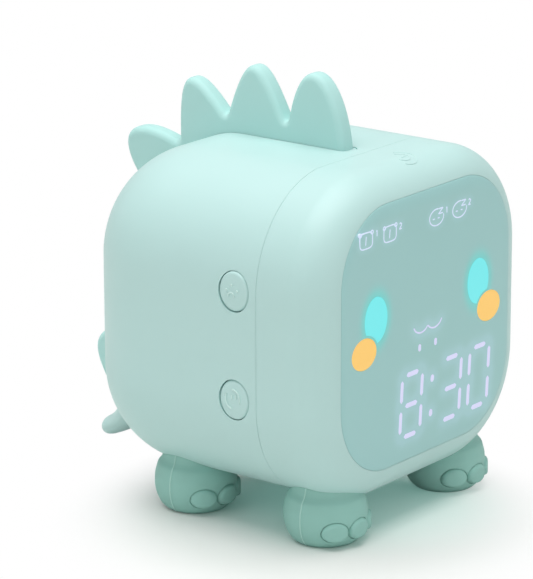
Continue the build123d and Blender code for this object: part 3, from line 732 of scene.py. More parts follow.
@dataclass(frozen=True)
class CasingForm:
    """The rounded cube that everything sits on, with sizes in millimetres from its middle.

    Attributes:
        middle: The casing's middle in the frame, in metres.
        half_width: Half of its width.
        half_height: Half of its height.
        front_y: Its front face.
        rear_y: Its rear face.
        corner: Corner radius of the outline seen from the front.
        front_rim: Fillet radius round the front face.
        rear_rim: Fillet radius round the rear face.
        seam_y: Where the two shells meet.
        wall: Wall thickness.
        corner_steps: Steps in each corner arc of the outline.
        side_steps: Steps along each side of the outline.
    """

    middle: tuple[float, float, float]
    half_width: float
    half_height: float
    front_y: float
    rear_y: float
    corner: float = 27.7
    front_rim: float = 10.8
    rear_rim: float = 24.8
    seam_y: float = -21.0
    wall: float = 2.4
    corner_steps: int = 28
    side_steps: int = 10

    @classmethod
    def from_frame(cls) -> "CasingForm":
        """Read the casing's outer sizes from the two shells of the frame.

        Returns:
            The casing's form.
        """
        low, high = (np.array(corner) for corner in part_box("front_casing"))
        rear_high = np.array(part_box("rear_casing")[1])
        high = np.maximum(high, rear_high)
        middle = (low + high) / 2
        half = (high - low) / 2 / MM
        return cls(tuple(middle.tolist()), half[0], half[2], -half[1], half[1])

    def unit_outline(self, corner_steps: int = 0, side_steps: int = 0) -> tuple[Array, Array]:
        """The outline as signs and directions, shared by every rounded rectangle.

        A rounded rectangle's point is sign * (half size - corner) + corner * direction.  On a
        corner the sign stays and the direction turns; on a side the direction stays and the sign
        runs from one corner to the next.

        Args:
            corner_steps: Steps per corner, or 0 for the form's own.
            side_steps: Steps per side, or 0 for the form's own.

        Returns:
            Two arrays of shape (n, 2), counter-clockwise seen from the front.
        """
        turn = np.linspace(0.0, math.pi / 2, (corner_steps or self.corner_steps) + 1)
        slide = np.linspace(1.0, -1.0, (side_steps or self.side_steps) + 1)[1:-1]
        signs, ways = [], []
        for base in np.arange(4) * math.pi / 2:
            corner_sign = np.sign([math.cos(base + math.pi / 4), math.sin(base + math.pi / 4)])
            side_way = np.array([math.cos(base + math.pi / 2), math.sin(base + math.pi / 2)])
            side_run = np.array([math.cos(base), math.sin(base)])
            signs += [np.tile(corner_sign, (len(turn), 1)), slide[:, None] * side_run + side_way]
            corner_ways = np.stack([np.cos(base + turn), np.sin(base + turn)], axis=1)
            ways += [corner_ways, np.tile(side_way, (len(slide), 1))]
        return np.concatenate(signs), np.concatenate(ways)

    def rectangle(self, half_x: Array, half_z: Array, corner: Array, **steps: int) -> Array:
        """Rounded rectangles of several sizes.

        Args:
            half_x: Half widths, shape (m,).
            half_z: Half heights, shape (m,).
            corner: Corner radii, shape (m,).
            **steps: Passed on to unit_outline.

        Returns:
            Array of shape (m, n, 2).
        """
        signs, ways = self.unit_outline(**steps)
        sizes = (half_x, half_z, corner)
        half_x, half_z, corner = (np.atleast_1d(size).astype(float)[:, None] for size in sizes)
        x = signs[:, 0] * (half_x - corner) + corner * ways[:, 0]
        z = signs[:, 1] * (half_z - corner) + corner * ways[:, 1]
        return np.stack([x, z], axis=-1)

    def rings(self, path: Array, **steps: int) -> Array:
        """The casing's outline drawn in and set at depths.

        Args:
            path: Array of shape (m, 2) of inset and depth y.
            **steps: Passed on to unit_outline.

        Returns:
            Array of shape (m, n, 3) in metres.
        """
        inset, depth = path[:, 0], path[:, 1]
        sizes = (self.half_width - inset, self.half_height - inset, self.corner - inset)
        return self.in_space(self.rectangle(*sizes, **steps), depth[:, None])

    def in_space(self, flat: Array, depth: Array) -> Array:
        """Put points into the frame.

        Args:
            flat: Array of shape (..., 2) of x and z from the casing's middle.
            depth: Their depth y, one number or an array.

        Returns:
            Array of shape (..., 3) in metres.
        """
        depth = np.broadcast_to(depth, flat.shape[:-1])
        return np.array(self.middle) + MM * np.stack([flat[..., 0], depth, flat[..., 1]], axis=-1)

    def front_arc(self, inset: float, start: float, end: float, count: int) -> Array:
        """Inset and depth round the front fillet, from the side at 0 to the front at 90 degrees.

        With r the fillet less the inset, they are inset + r (1 - cos) and
        front + inset + r (1 - sin).

        Args:
            inset: Distance under the outer surface.
            start: First angle in degrees.
            end: Last angle in degrees.
            count: Number of points.

        Returns:
            Array of shape (count, 2), a path for rings.
        """
        angle = np.radians(np.linspace(start, end, count))
        radius = self.front_rim - inset
        drawn = inset + radius * (1 - np.cos(angle))
        return np.stack([drawn, self.front_y + inset + radius * (1 - np.sin(angle))], axis=1)

    def rear_arc(self, inset: float, start: float, end: float, count: int) -> Array:
        """Inset and depth round the rear fillet, from the side at 0 to the back at 90 degrees.

        Args:
            inset: Distance under the outer surface.
            start: First angle in degrees.
            end: Last angle in degrees.
            count: Number of points.

        Returns:
            Array of shape (count, 2), a path for rings.
        """
        angle = np.radians(np.linspace(start, end, count))
        radius = self.rear_rim - inset
        drawn = inset + radius * (1 - np.cos(angle))
        return np.stack([drawn, self.rear_y - inset - radius * (1 - np.sin(angle))], axis=1)

    def rear_bend(self, inset: float, count: int = 24) -> Array:
        """The rear fillet in the middle plane, from the top round to the back.

        It is the quarter circle centre + (radius - inset) * (cos, sin) from 90 to 0 degrees.

        Args:
            inset: Distance under the outer surface.
            count: Number of points.

        Returns:
            Array of shape (count, 2) of depth y and height z.
        """
        centre = np.array([self.rear_y - self.rear_rim, self.half_height - self.rear_rim])
        angle = np.radians(np.linspace(90, 0, count))
        return centre + (self.rear_rim - inset) * np.stack([np.cos(angle), np.sin(angle)], axis=1)

    def flat_outline(self, rim: float) -> Array:
        """The outline of a flat end whose edge has a fillet of radius rim, shape (1, n, 2)."""
        return self.rectangle(self.half_width - rim, self.half_height - rim, self.corner - rim)

    def rear_cap(self, inset: float, count: int = 8) -> Array:
        """Rings of the flat back from its middle to where the fillet starts, a scaled outline.

        Args:
            inset: Distance under the outer surface.
            count: Number of rings.

        Returns:
            Array of shape (count, n, 3) in metres.
        """
        share = np.linspace(0.0, 1.0, count)[:, None, None]
        return self.in_space(self.flat_outline(self.rear_rim) * share, self.rear_y - inset)

    def front_depth(self, flat: Array) -> Array:
        """Depth y of the outer front surface over points (x, z).

        The distance d inside the rounded outline gives y: inside the fillet it is
        front + r - sqrt(r^2 - (r - d)^2), and further in it is the flat front.

        Args:
            flat: Array of shape (..., 2).

        Returns:
            Array of depths.
        """
        spare = np.abs(flat) - (np.array([self.half_width, self.half_height]) - self.corner)
        outside = np.linalg.norm(np.maximum(spare, 0.0), axis=-1) + np.minimum(spare.max(axis=-1), 0.0)
        left = np.clip(self.front_rim - (self.corner - outside), 0.0, self.front_rim)
        return self.front_y + self.front_rim - np.sqrt(self.front_rim**2 - left**2)

    def solid(self, name: str, grow: float) -> bpy.types.Object:
        """The whole casing as one closed solid, for trimming what meets it.

        Its rings run from the middle of the back over the rear fillet, the sides and the front
        fillet to the middle of the front.

        Args:
            name: Name of the new object.
            grow: How much larger than the casing, on every side.

        Returns:
            The closed solid.
        """
        front = self.front_arc(-grow, 0, 90, 16)
        rear = self.rear_arc(-grow, 90, 0, 28)
        middle_run = np.array([[-grow, y] for y in np.linspace(rear[-1, 1], front[0, 1], 8)[1:-1]])
        share = np.linspace(1.0, 0.0, 6)[1:, None, None]
        cap = self.in_space(self.flat_outline(self.front_rim) * share, self.front_y - grow)
        path = np.concatenate([rear[1:], middle_run, front])
        return merge(grid_piece(name, np.concatenate([self.rear_cap(-grow), self.rings(path), cap])))

    def side_face(self, side: int, y: float = 0.0, z: float = 0.0, x: float = 0.0) -> Face:
        """The flat face of the side at +1 or -1, centred at (y, z) and at distance x."""
        origin = np.array(self.middle) + MM * np.array([side * (x or self.half_width), y, z])
        return Face(tuple(origin.tolist()), (0.0, float(side), 0.0), (0.0, 0.0, 1.0))

    def front_face(self) -> Face:
        """The flat front face; its normal looks to the front."""
        origin = np.array(self.middle) + MM * np.array([0.0, self.front_y, 0.0])
        return Face(tuple(origin.tolist()), (1.0, 0.0, 0.0), (0.0, 0.0, 1.0))

    def level_face(self, z: float) -> Face:
        """A level face at height z, looking up."""
        origin = np.array(self.middle) + MM * np.array([0.0, 0.0, z])
        return Face(tuple(origin.tolist()), (1.0, 0.0, 0.0), (0.0, 1.0, 0.0))

    def profile_face(self) -> Face:
        """The upright middle plane, with first direction to the back and second up."""
        return Face(self.middle, (0.0, 1.0, 0.0), (0.0, 0.0, 1.0))

    def back_face(self) -> Face:
        """The flat back; its normal looks to the back and its first direction to the right."""
        origin = np.array(self.middle) + MM * np.array([0.0, self.rear_y, 0.0])
        return Face(tuple(origin.tolist()), (-1.0, 0.0, 0.0), (0.0, 0.0, 1.0))


@dataclass(frozen=True)
class WindowForm:
    """The window's outline: a rounded rectangle, in millimetres from the casing's middle."""

    half_width: float = 36.25
    half_height: float = 34.1
    corner: float = 19.6
    centre_z: float = 0.97
    thick: float = 1.2
    lip: float = 2.0  # width of the shelf it lies on
    gap: float = 0.05  # all round, between it and the casing

    def outline(self, form: CasingForm, inset: float, **steps: int) -> Array:
        """The outline drawn in by inset, with the same steps as the casing's own outline."""
        sizes = (self.half_width - inset, self.half_height - inset, self.corner - inset)
        return form.rectangle(*sizes, **steps)[0] + np.array([0.0, self.centre_z])


# ---------------------------------------------------------------- casing


@dataclass
class Casing:
    """The two shells of the casing with the openings that show.

    A cut is the span of an opening's tool, from under the surface to above it, or for the floor
    from outside it to inside.
    """

    form: CasingForm
    window: WindowForm
    groove: float = 0.11  # width and depth of the seam
    edge: float = 0.04  # bevel on either side of the seam
    rim_end: float = 56.0  # angle of the front fillet where the slope to the window starts
    slope_end: float = 0.2  # where the slope ends, outside the window
    seat_edge: tuple[tuple[float, float], ...] = ((0.08, 0.01), (0.02, 0.04), (0.0, 0.09))  # outside, down
    button_y: float = -14.1
    button_heights: tuple[float, float] = (14.6, -13.1)
    button_hole: tuple[float, float] = (4.75, 5.25)
    button_cut: tuple[float, float] = (-6.0, 2.0)
    slot_half: float = 2.95  # of the crest's slot
    slot_front_y: float = -17.8
    slot_end_z: float = 2.0
    slot_cut: tuple[float, float] = (0.6, 1.5)  # past the wall's inner and outer side
    slot_end_cut: tuple[float, float] = (0.5, 1.4)
    port: tuple[float, float] = (24.0, -12.0)
    port_size: tuple[float, float] = (9.5, 3.8)
    reset_z: float = 0.0
    reset_radius: float = 0.9
    back_cut: tuple[float, float] = (-8.0, 2.0)
    speaker_y: float = 3.5
    sound_hole: float = 0.8  # radius
    sound_pitch: float = 2.9
    sound_rings: int = 3
    sound_cut: tuple[float, float] = (-1.0, 4.0)
    screw_places: tuple[tuple[float, float], ...] = ((10.0, -13.0), (-10.0, -13.0))
    screw_radius: float = 2.3  # of the recess
    screw_cut: tuple[float, float] = (-1.0, 1.4)

    def front_shell(self) -> bpy.types.Object:
        """The front shell, whose rows follow a closed loop of the wall's section.

        Its rings run from the seam over the front rim to the window's seat and back inside.

        Returns:
            The closed shell.
        """
        form, window = self.form, self.window
        half_groove = self.groove / 2
        seam = np.array(
            [
                [self.groove, form.seam_y],
                [self.groove, form.seam_y - half_groove],
                [self.edge, form.seam_y - half_groove],
                [0.0, form.seam_y - half_groove - self.edge],
                [0.0, form.seam_y - 1.0],
                [0.0, (form.seam_y + form.front_y + form.front_rim) / 2],
            ]
        )
        rim = form.rings(np.concatenate([seam, form.front_arc(0.0, 0, self.rim_end, 18)]))
        start = form.rings(form.front_arc(0.0, self.rim_end, self.rim_end, 1))[0]
        start_flat = (start - np.array(form.middle))[:, [0, 2]] / MM
        edge_flat = window.outline(form, -self.slope_end)
        share = np.linspace(0.0, 1.0, 16)[1:, None, None]
        slope_flat = start_flat * (1 - share) + edge_flat * share
        slope = form.in_space(slope_flat, form.front_depth(slope_flat))
        seat_y = form.front_y + window.thick + window.gap
        lip_y = form.front_y + form.wall
        drop = []
        for outside, sink in self.seat_edge:
            flat = window.outline(form, -outside)
            drop.append(form.in_space(flat, form.front_depth(flat) + sink))
        for inset, depth in ((0.0, seat_y), (window.lip, seat_y), (window.lip, lip_y)):
            drop.append(form.in_space(window.outline(form, inset), depth))
        inside_seam = [[form.wall, form.seam_y]]
        inner = form.rings(np.concatenate([form.front_arc(form.wall, 80, 0, 12), inside_seam]))
        grid = np.concatenate([rim, slope, np.stack(drop), inner])
        return merge(grid_piece("front_shell", grid, wrap_rows=True))

    def rear_shell_blank(self) -> bpy.types.Object:
        """The rear shell without openings.

        Its rings run from the middle of the back over the fillet and sides to the seam, and inside
        again to the middle of the back.

        Returns:
            The closed shell.
        """
        form = self.form
        half_groove = self.groove / 2
        straight_start = form.rear_y - form.rear_rim
        sides = np.linspace(straight_start, form.seam_y + 1.0, 14)[1:]
        seam = np.array(
            [
                [0.0, form.seam_y + half_groove + self.edge],
                [self.edge, form.seam_y + half_groove],
                [self.groove, form.seam_y + half_groove],
                [self.groove, form.seam_y],
                [form.wall, form.seam_y],
            ]
        )
        straight = np.stack([0 * sides, sides], axis=1)
        outer = form.rings(np.concatenate([form.rear_arc(0.0, 90, 0, 40)[1:], straight, seam]))
        inner = form.rings(form.rear_arc(form.wall, 0, 90, 20))
        inner_cap = form.rear_cap(form.wall)[::-1][1:]
        grid = np.concatenate([form.rear_cap(0.0), outer, inner, inner_cap])
        return merge(grid_piece("rear_shell", grid))

    def band(self, outer: float, inner: float, start_y: float, end_z: float) -> Array:
        """An outline (y, z) between two depths below the casing's middle section.

        It runs straight over the top, turns a quarter circle about the rear fillet's centre, and
        drops straight down the back.

        Args:
            outer: Depth of its outer edge; less than 0 is above the surface.
            inner: Depth of its inner edge.
            start_y: Where it starts on the top.
            end_z: Where it ends on the back.

        Returns:
            Array of shape (n, 2), counter-clockwise.
        """
        form = self.form
        edges = []
        for depth in (inner, outer):
            start, end = [start_y, form.half_height - depth], [form.rear_y - depth, end_z]
            edges.append(np.concatenate([[start], form.rear_bend(depth), [end]]))
        return np.concatenate([edges[0], edges[1][::-1]])

    def floor_openings(self) -> list[bpy.types.Object]:
        """The cutters of the sound holes, in rings about the speaker, and of the screw recesses.

        Returns:
            The cutters.
        """
        floor = self.form.level_face(-self.form.half_height)
        spots = [(0.0, self.speaker_y)]
        for ring in range(1, self.sound_rings + 1):
            turn = np.radians(np.arange(0, 360, 60 / ring))
            reach = self.sound_pitch * ring
            spots += np.stack([reach * np.cos(turn), self.speaker_y + reach * np.sin(turn)], axis=1).tolist()
        sound = [ellipse(spot, (self.sound_hole,) * 2, count=16) for spot in spots]
        screws = [ellipse(spot, (self.screw_radius,) * 2, count=32) for spot in self.screw_places]
        tools = [floor.plate("sound_tool", hole, *self.sound_cut) for hole in sound]
        return tools + [floor.plate("screw_tool", hole, *self.screw_cut) for hole in screws]

    def openings(self) -> bpy.types.Object:
        """Every cutter of the rear shell.

        Returns:
            The cutters in one object.
        """
        form = self.form
        round_y = self.slot_front_y + self.slot_half
        under, over = self.slot_cut
        band = self.band(-over, form.wall + under, round_y, self.slot_end_z)
        slot = form.profile_face().plate("slot_tool", band, -self.slot_half, self.slot_half)
        slot_end = ellipse((0.0, round_y), (self.slot_half,) * 2)
        under, over = self.slot_end_cut
        top = form.level_face(form.half_height)
        tools = [carve(slot, top.plate("slot_end", slot_end, -form.wall - under, over), Cut.JOIN)]
        for side in (-1, 1):
            for z in self.button_heights:
                face = form.side_face(side, self.button_y, z)
                tools.append(face.plate("button_tool", ellipse((0, 0), self.button_hole), *self.button_cut))
        back, (x, z) = form.back_face(), self.port
        port = polyline_slot(*self.port_size) + np.array([-x, z])
        reset = ellipse((-x, self.reset_z), (self.reset_radius,) * 2, count=24)
        tools += [back.plate("back_tool", hole, *self.back_cut) for hole in (port, reset)]
        return gather("openings", tools + self.floor_openings())

    def build(self) -> None:
        """Build and dress both shells."""
        front = self.front_shell()
        rear = carve(self.rear_shell_blank(), self.openings())
        for shell, node in ((front, "front_casing"), (rear, "rear_casing")):
            dress(weigh_normals(smooth(shell, 40)), CASING_ABS, (node,))


# ---------------------------------------------------------------- window and lit marks


@dataclass
class LitFace:
    """The window and all that shines through it, in millimetres from the casing's middle."""

    form: CasingForm
    window: WindowForm
    eye: tuple[float, float] = (22.1, 6.7)
    eye_radii: tuple[float, float] = (4.7, 5.95)
    cheek: tuple[float, float] = (27.0, -0.95)
    cheek_radii: tuple[float, float] = (5.1, 4.0)
    rib: float = 0.7  # between an eye and its cheek
    lens_under: float = 0.2  # how far the lenses reach behind the window
    digit_z: float = -18.75
    figures: tuple[tuple[str, float], ...] = (("abcdefg", -6.9), ("abgcd", 10.3), ("abcdef", 22.8))
    digit_half: tuple[float, float] = (4.33, 7.95)
    slant: float = 3.7  # degrees
    long_bar: float = 5.9
    short_bar: float = 5.2
    bar_width: float = 1.25
    colon: tuple[float, float] = (1.9, 4.5)  # its place, and its dots' distance from the middle
    colon_dot: tuple[float, float] = (1.9, 1.45)
    dot_light: tuple[float, float] = (0.2, 0.7)  # half length and half width of a dot's lamp
    mouth: tuple[float, float, float] = (6.1, 0.2, 1.25)  # half width, top and drop
    smile_shape: tuple[tuple[float, float], ...] = (
        (0.0, 0.0), (0.2, 0.72), (0.52, 1.0), (0.84, 0.45), (1.0, -0.44),
    )
    nostril: tuple[float, float] = (3.45, -4.9)
    nostril_size: tuple[float, float] = (1.9, 1.15)
    line: float = 0.4
    line_points: tuple[int, ...] = (0, 8, 16, 24, 31)  # where the short lamps along the mouth start
    proud: float = 0.03
    mark_depth: float = 0.45
    edge_steps: tuple[tuple[float, float], ...] = ((0.0, 0.08), (0.02, 0.03))  # in, and down
    edge_end: float = 0.08  # where the window's rounded edge meets its face
    halo_reach: float = 1.9
    eye_halo: float = 0.92  # reach round the eyes, as a share of the reach round the marks
    line_share: float = 0.35
    symbol_halo: tuple[float, float] = (1.0, 0.75)  # reach and share

    def bars(self) -> list[Array]:
        """The outline of every lit bar of the figures.

        A bar is a long hexagon.  Its middle is one of seven places round the figure, leaned over
        by the slant, and upright bars lean with it.

        Returns:
            Arrays of shape (6, 2), the two pointed ends first and fourth.
        """
        half_w, half_h = self.digit_half
        places = {
            "a": (0.0, half_h, 0.0),
            "b": (half_w, half_h / 2, 90.0),
            "c": (half_w, -half_h / 2, 90.0),
            "d": (0.0, -half_h, 0.0),
            "e": (-half_w, -half_h / 2, 90.0),
            "f": (-half_w, half_h / 2, 90.0),
            "g": (0.0, 0.0, 0.0),
        }
        lean = math.tan(math.radians(self.slant))
        half = self.bar_width / 2
        outlines = []
        for letters, digit_x in self.figures:
            for letter in letters:
                dx, dz, angle = places[letter]
                end = (self.long_bar if angle else self.short_bar) / 2
                run = end - half
                under, over = [(-run, -half), (run, -half)], [(run, half), (-run, half)]
                hexagon = np.array([(-end, 0), *under, (end, 0), *over])
                middle = np.array([digit_x + dx + lean * dz, self.digit_z + dz])
                outlines.append(hexagon @ spin(angle - self.slant if angle else 0.0) + middle)
        return outlines

    def colon_dots(self) -> list[Array]:
        """The two dots between hours and minutes, as short slots leaning with the figures.

        Returns:
            Two arrays of shape (n, 2).
        """
        x, z = self.colon
        lean = math.tan(math.radians(self.slant)) * z
        dot = polyline_slot(*self.colon_dot) @ spin(90 - self.slant)
        return [dot + np.array([x + sign * lean, self.digit_z + sign * z]) for sign in (1, -1)]

    def smile(self) -> list[Array]:
        """The two arcs of the mouth, each a smooth curve through shares of its width and drop.

        Returns:
            Two arrays of shape (40, 2), from the mouth's middle outwards.
        """
        half, top, drop = self.mouth
        return [
            smooth_through([(side * half * share, top - drop * fall) for share, fall in self.smile_shape], 40)
            for side in (-1, 1)
        ]

    def glow(self, flat: Array) -> Array:
        """How much light spreads into the window at points (x, z).

        For every bar, dot and line the light falls off as share * exp(-(d / reach)^2) with the
        distance d to its middle line less its half width; the sum is cut at one.  The thin lines
        of the mouth have a smaller share than the bars.

        Args:
            flat: Array of shape (n, 2).

        Returns:
            Array of shape (n,).
        """
        total = np.zeros(len(flat))
        runs = [(bar[0], bar[3], self.bar_width / 2, 1.0) for bar in self.bars()]
        for dot in self.colon_dots():
            middle, half_run = dot.mean(axis=0), np.array([0.0, self.dot_light[0]])
            runs.append((middle - half_run, middle + half_run, self.dot_light[1], 1.0))
        for path in self.smile():
            runs += [(path[i], path[i + 8], self.line / 2, self.line_share) for i in self.line_points]
        for start, end, half, share_of_light in runs:
            along = end - start
            share = np.clip(((flat - start) @ along) / (along @ along), 0.0, 1.0)
            distance = np.linalg.norm(flat - start - share[:, None] * along, axis=1) - half
            total += share_of_light * np.exp(-((np.maximum(distance, 0.0) / self.halo_reach) ** 2))
        return np.minimum(total, 1.0)

    def symbol_glow(self, flat: Array, paths: list[Array]) -> Array:
        """The faint light round the small symbols.

        It is share * exp(-(d / reach)^2) with the distance d to the nearest point of any path.

        Args:
            flat: Array of shape (n, 2), points of the window.
            paths: The symbols' lines, each of shape (m, 2).

        Returns:
            Array of shape (n,).
        """
        dots = np.concatenate(paths)
        reach, share = self.symbol_halo
        total = np.zeros(len(flat))
        near = flat[:, 1] > dots[:, 1].min() - 3 * reach
        gap = np.linalg.norm(flat[near][:, None] - dots[None], axis=-1).min(axis=1)
        total[near] = share * np.exp(-((gap / reach) ** 2))
        return total

    def eye_glow(self, flat: Array) -> Array:
        """The faint ring of light round each eye.

        It is exp(-(d / reach)^2) with the distance d to the eye, measured in the eye's own shape.

        Args:
            flat: Array of shape (n, 2), points of the window.

        Returns:
            Array of shape (n,).
        """
        total = np.zeros(len(flat))
        reach = self.eye_halo * self.halo_reach
        for side in (-1, 1):
            offset = (flat - np.array([side * self.eye[0], self.eye[1]])) / np.array(self.eye_radii)
            distance = (np.linalg.norm(offset, axis=1) - 1.0) * min(self.eye_radii)
            total += np.exp(-((np.maximum(distance, 0.0) / reach) ** 2))
        return np.minimum(total, 1.0)

    def plate(self) -> bpy.types.Object:
        """The window: a thin plate that follows the casing's front, dense enough to carry the glow.

        Rows are the outline drawn in a little round its edge, then scaled towards the middle, each
        at the depth of the casing's front surface there.

        Returns:
            The closed plate.
        """
        form, window = self.form, self.window
        steps = {"corner_steps": 70, "side_steps": 40}
        edge = window.outline(form, window.gap, **steps)
        centre = np.array([0.0, window.centre_z])
        back_y, edge_y = form.front_y + window.thick, form.front_depth(edge)
        rows = [form.in_space(centre + (edge - centre) * scale, back_y) for scale in (0.0, 0.5, 1.0)]
        for inset, drop in self.edge_steps:
            rows.append(form.in_space(window.outline(form, window.gap + inset, **steps), edge_y + drop))
        rim = window.outline(form, window.gap + self.edge_end, **steps)
        face_flat = centre + (rim - centre) * np.linspace(1.0, 0.0, 110)[:, None, None]
        face = form.in_space(face_flat, form.front_depth(face_flat))
        return merge(grid_piece("window_plate", np.concatenate([np.stack(rows), face])))

    def eye_lens(self, side: int, grow: float = 0.0) -> bpy.types.Object:
        """One eye as a thick elliptic plate with the cheek's bite taken out, or the tool for it.

        Args:
            side: 1 for the dinosaur's left, -1 for its right.
            grow: How much wider than the lens; 0 makes the lens itself.

        Returns:
            The closed lens or tool.
        """
        radii = tuple(radius + self.rib - grow for radius in self.cheek_radii)
        outline = ellipse((side * self.cheek[0], self.cheek[1]), radii, count=96)
        bite = self.form.front_face().plate("bite", outline, -3.0, 3.0)
        return carve(self.lens(side, self.eye, self.eye_radii, grow), bite)

    def cheek_lens(self, side: int, grow: float = 0.0) -> bpy.types.Object:
        """One cheek as a thick elliptic plate, or the tool for it."""
        return self.lens(side, self.cheek, self.cheek_radii, grow)

    def lens(self, side: int, centre: tuple[float, float], radii: tuple[float, float],
             grow: float) -> bpy.types.Object:
        """An elliptic plate through the window.

        Args:
            side: 1 for the dinosaur's left, -1 for its right.
            centre: Its middle on the left side.
            radii: Its two radii.
            grow: How much wider it is made; a wider one is a tool and stands well proud.

        Returns:
            The closed plate.
        """
        outline = ellipse((side * centre[0], centre[1]), tuple(radius + grow for radius in radii), count=96)
        low, high = -self.window.thick - self.lens_under, 2.0 if grow else self.proud
        return self.form.front_face().plate("lens", outline, low, high)

    def build(self, symbol_paths: list[Array]) -> None:
        """Build and dress the window, the eyes, the cheeks and the lit marks.

        Args:
            symbol_paths: The lines of the small symbols, which light the window round them.
        """
        face, sides = self.form.front_face(), (-1, 1)
        window = self.plate()
        tools = [lens(side, self.window.gap) for lens in (self.eye_lens, self.cheek_lens) for side in sides]
        carve(window, gather("lens_tools", tools))
        points = np.empty(3 * len(window.data.vertices))
        window.data.vertices.foreach_get("co", points)
        flat = (points.reshape(-1, 3) - np.array(self.form.middle))[:, [0, 2]] / MM
        marks = np.maximum(self.glow(flat), self.symbol_glow(flat, symbol_paths))
        for name, values in (("mark_light", marks), ("eye_light", self.eye_glow(flat))):
            window.data.attributes.new(name, "FLOAT", "POINT").data.foreach_set("value", values)
        dress(smooth(window), WINDOW_ACRYLIC, ("display_window",))
        eyes = gather("eye_lens_pair", [self.eye_lens(side) for side in sides])
        dress(smooth(eyes), EYE_LENS, ("eye_lenses",))
        cheeks = gather("cheek_lens_pair", [self.cheek_lens(side) for side in sides])
        dress(smooth(cheeks), CHEEK_LENS, ("cheek_lenses",))
        low, high = -self.mark_depth, self.proud
        bars = [face.plate("bar", outline, low, high) for outline in self.bars()]
        dress(gather("lit_bars", bars), LIT_MARK, ("lit_segments",))
        dots = [face.plate("dot", outline, low, high) for outline in self.colon_dots()]
        dress(smooth(gather("lit_colon", dots)), LIT_MARK, ("colon_dots",))
        lines = [face.bar("line", path, self.line, low, high) for path in self.smile()]
        upright = polyline_slot(*self.nostril_size)[:, ::-1] * [1, -1]
        for side in sides:
            spot = np.array([side * self.nostril[0], self.nostril[1]])
            lines.append(face.plate("nostril", upright + spot, low, high))
        dress(smooth(gather("lit_mouth", lines)), LIT_MARK, ("mouth_line",))


@dataclass
class ClockSymbols:
    """The small alarm and nap symbols along the top of the window, as thin lit lines."""

    form: CasingForm
    alarm_centres: tuple[tuple[float, float], ...] = ((-26.4, 27.75), (-16.5, 27.5))
    alarm_half: tuple[float, float] = (2.6, 2.0)
    nap_centres: tuple[tuple[float, float], ...] = ((3.35, 27.4), (13.4, 27.4))
    nap_radii: tuple[float, float] = (3.05, 2.1)
    numeral_gap: float = 4.4  # from a symbol's middle to its numeral
    line: float = 0.32
    proud: float = 0.03
    depth: float = 0.4

    def alarm(self, centre: tuple[float, float]) -> list[tuple[Array, bool]]:
        """An alarm clock: a rounded square, two bells and a hand.

        The square is a superellipse, |x / a|^4 + |z / b|^4 = 1, written with signed square roots.

        Args:
            centre: The symbol's middle.

        Returns:
            Its paths, and whether each is closed.
        """
        circle = ellipse((0.0, 0.0), (1.0, 1.0), count=60)
        square = np.array(centre) + np.array(self.alarm_half) * np.sign(circle) * np.sqrt(np.abs(circle))
        x, z = centre
        bells = [ellipse((x + side * 2.4, z + 1.75), (0.5, 0.42), count=24) for side in (-1, 1)]
        hand = polyline([(x, z + 1.1), (x - 0.25, z - 1.2)], 12)
        return [(square, True), (bells[0], True), (bells[1], True), (hand, False)]

    def nap(self, centre: tuple[float, float]) -> list[tuple[Array, bool]]:
        """A sleeping face: an ellipse open at its upper right, where a z stands, and two shut eyes.

        Args:
            centre: The symbol's middle.

        Returns:
            Its paths, and whether each is closed.
        """
        x, z = centre
        ring = ellipse(centre, self.nap_radii, 75, 372, 60)
        letter = polyline([(x + dx, z + dz) for dz in (2.0, 0.7) for dx in (0.8, 2.7)], 48)
        eyes = [polyline([(x + eye + end, z - 0.3) for end in (-0.45, 0.45)], 10) for eye in (-1.25, 0.9)]
        return [(path, False) for path in (ring, letter, *eyes)]

    def numeral(self, which: int, x: float, z: float) -> tuple[Array, bool]:
        """The small raised 1 or 2 beside a symbol.

        Args:
            which: The number.
            x: Its middle across.
            z: Its middle upwards.

        Returns:
            Its path, and whether that is closed.
        """
        shapes = {
            1: [(x - 0.25, z + 0.45), (x + 0.05, z + 0.75), (x + 0.05, z - 0.75)],
            2: [(x - 0.45, z + 0.5), (x - 0.1, z + 0.78), (x + 0.4, z + 0.5), (x + 0.3, z + 0.05),
                (x - 0.5, z - 0.72), (x + 0.5, z - 0.72)],
        }
        return polyline(shapes[which], 40), False

    def paths(self) -> list[tuple[Array, bool]]:
        """Every line of the symbols.

        Returns:
            The paths, and whether each is closed.
        """
        paths: list[tuple[Array, bool]] = []
        for centres, draw in ((self.alarm_centres, self.alarm), (self.nap_centres, self.nap)):
            for index, centre in enumerate(centres):
                paths += draw(centre)
                paths.append(self.numeral(index + 1, centre[0] + self.numeral_gap, centre[1] + 1.0))
        return paths

    def build(self) -> None:
        """Build and dress all symbols as one piece."""
        face = self.form.front_face()
        span = (self.line, -self.depth, self.proud)
        bars = [face.bar("symbol", path, *span, closed) for path, closed in self.paths()]
        dress(smooth(gather("clock_symbols", bars)), SYMBOL_MARK)


# ---------------------------------------------------------------- crest and tail


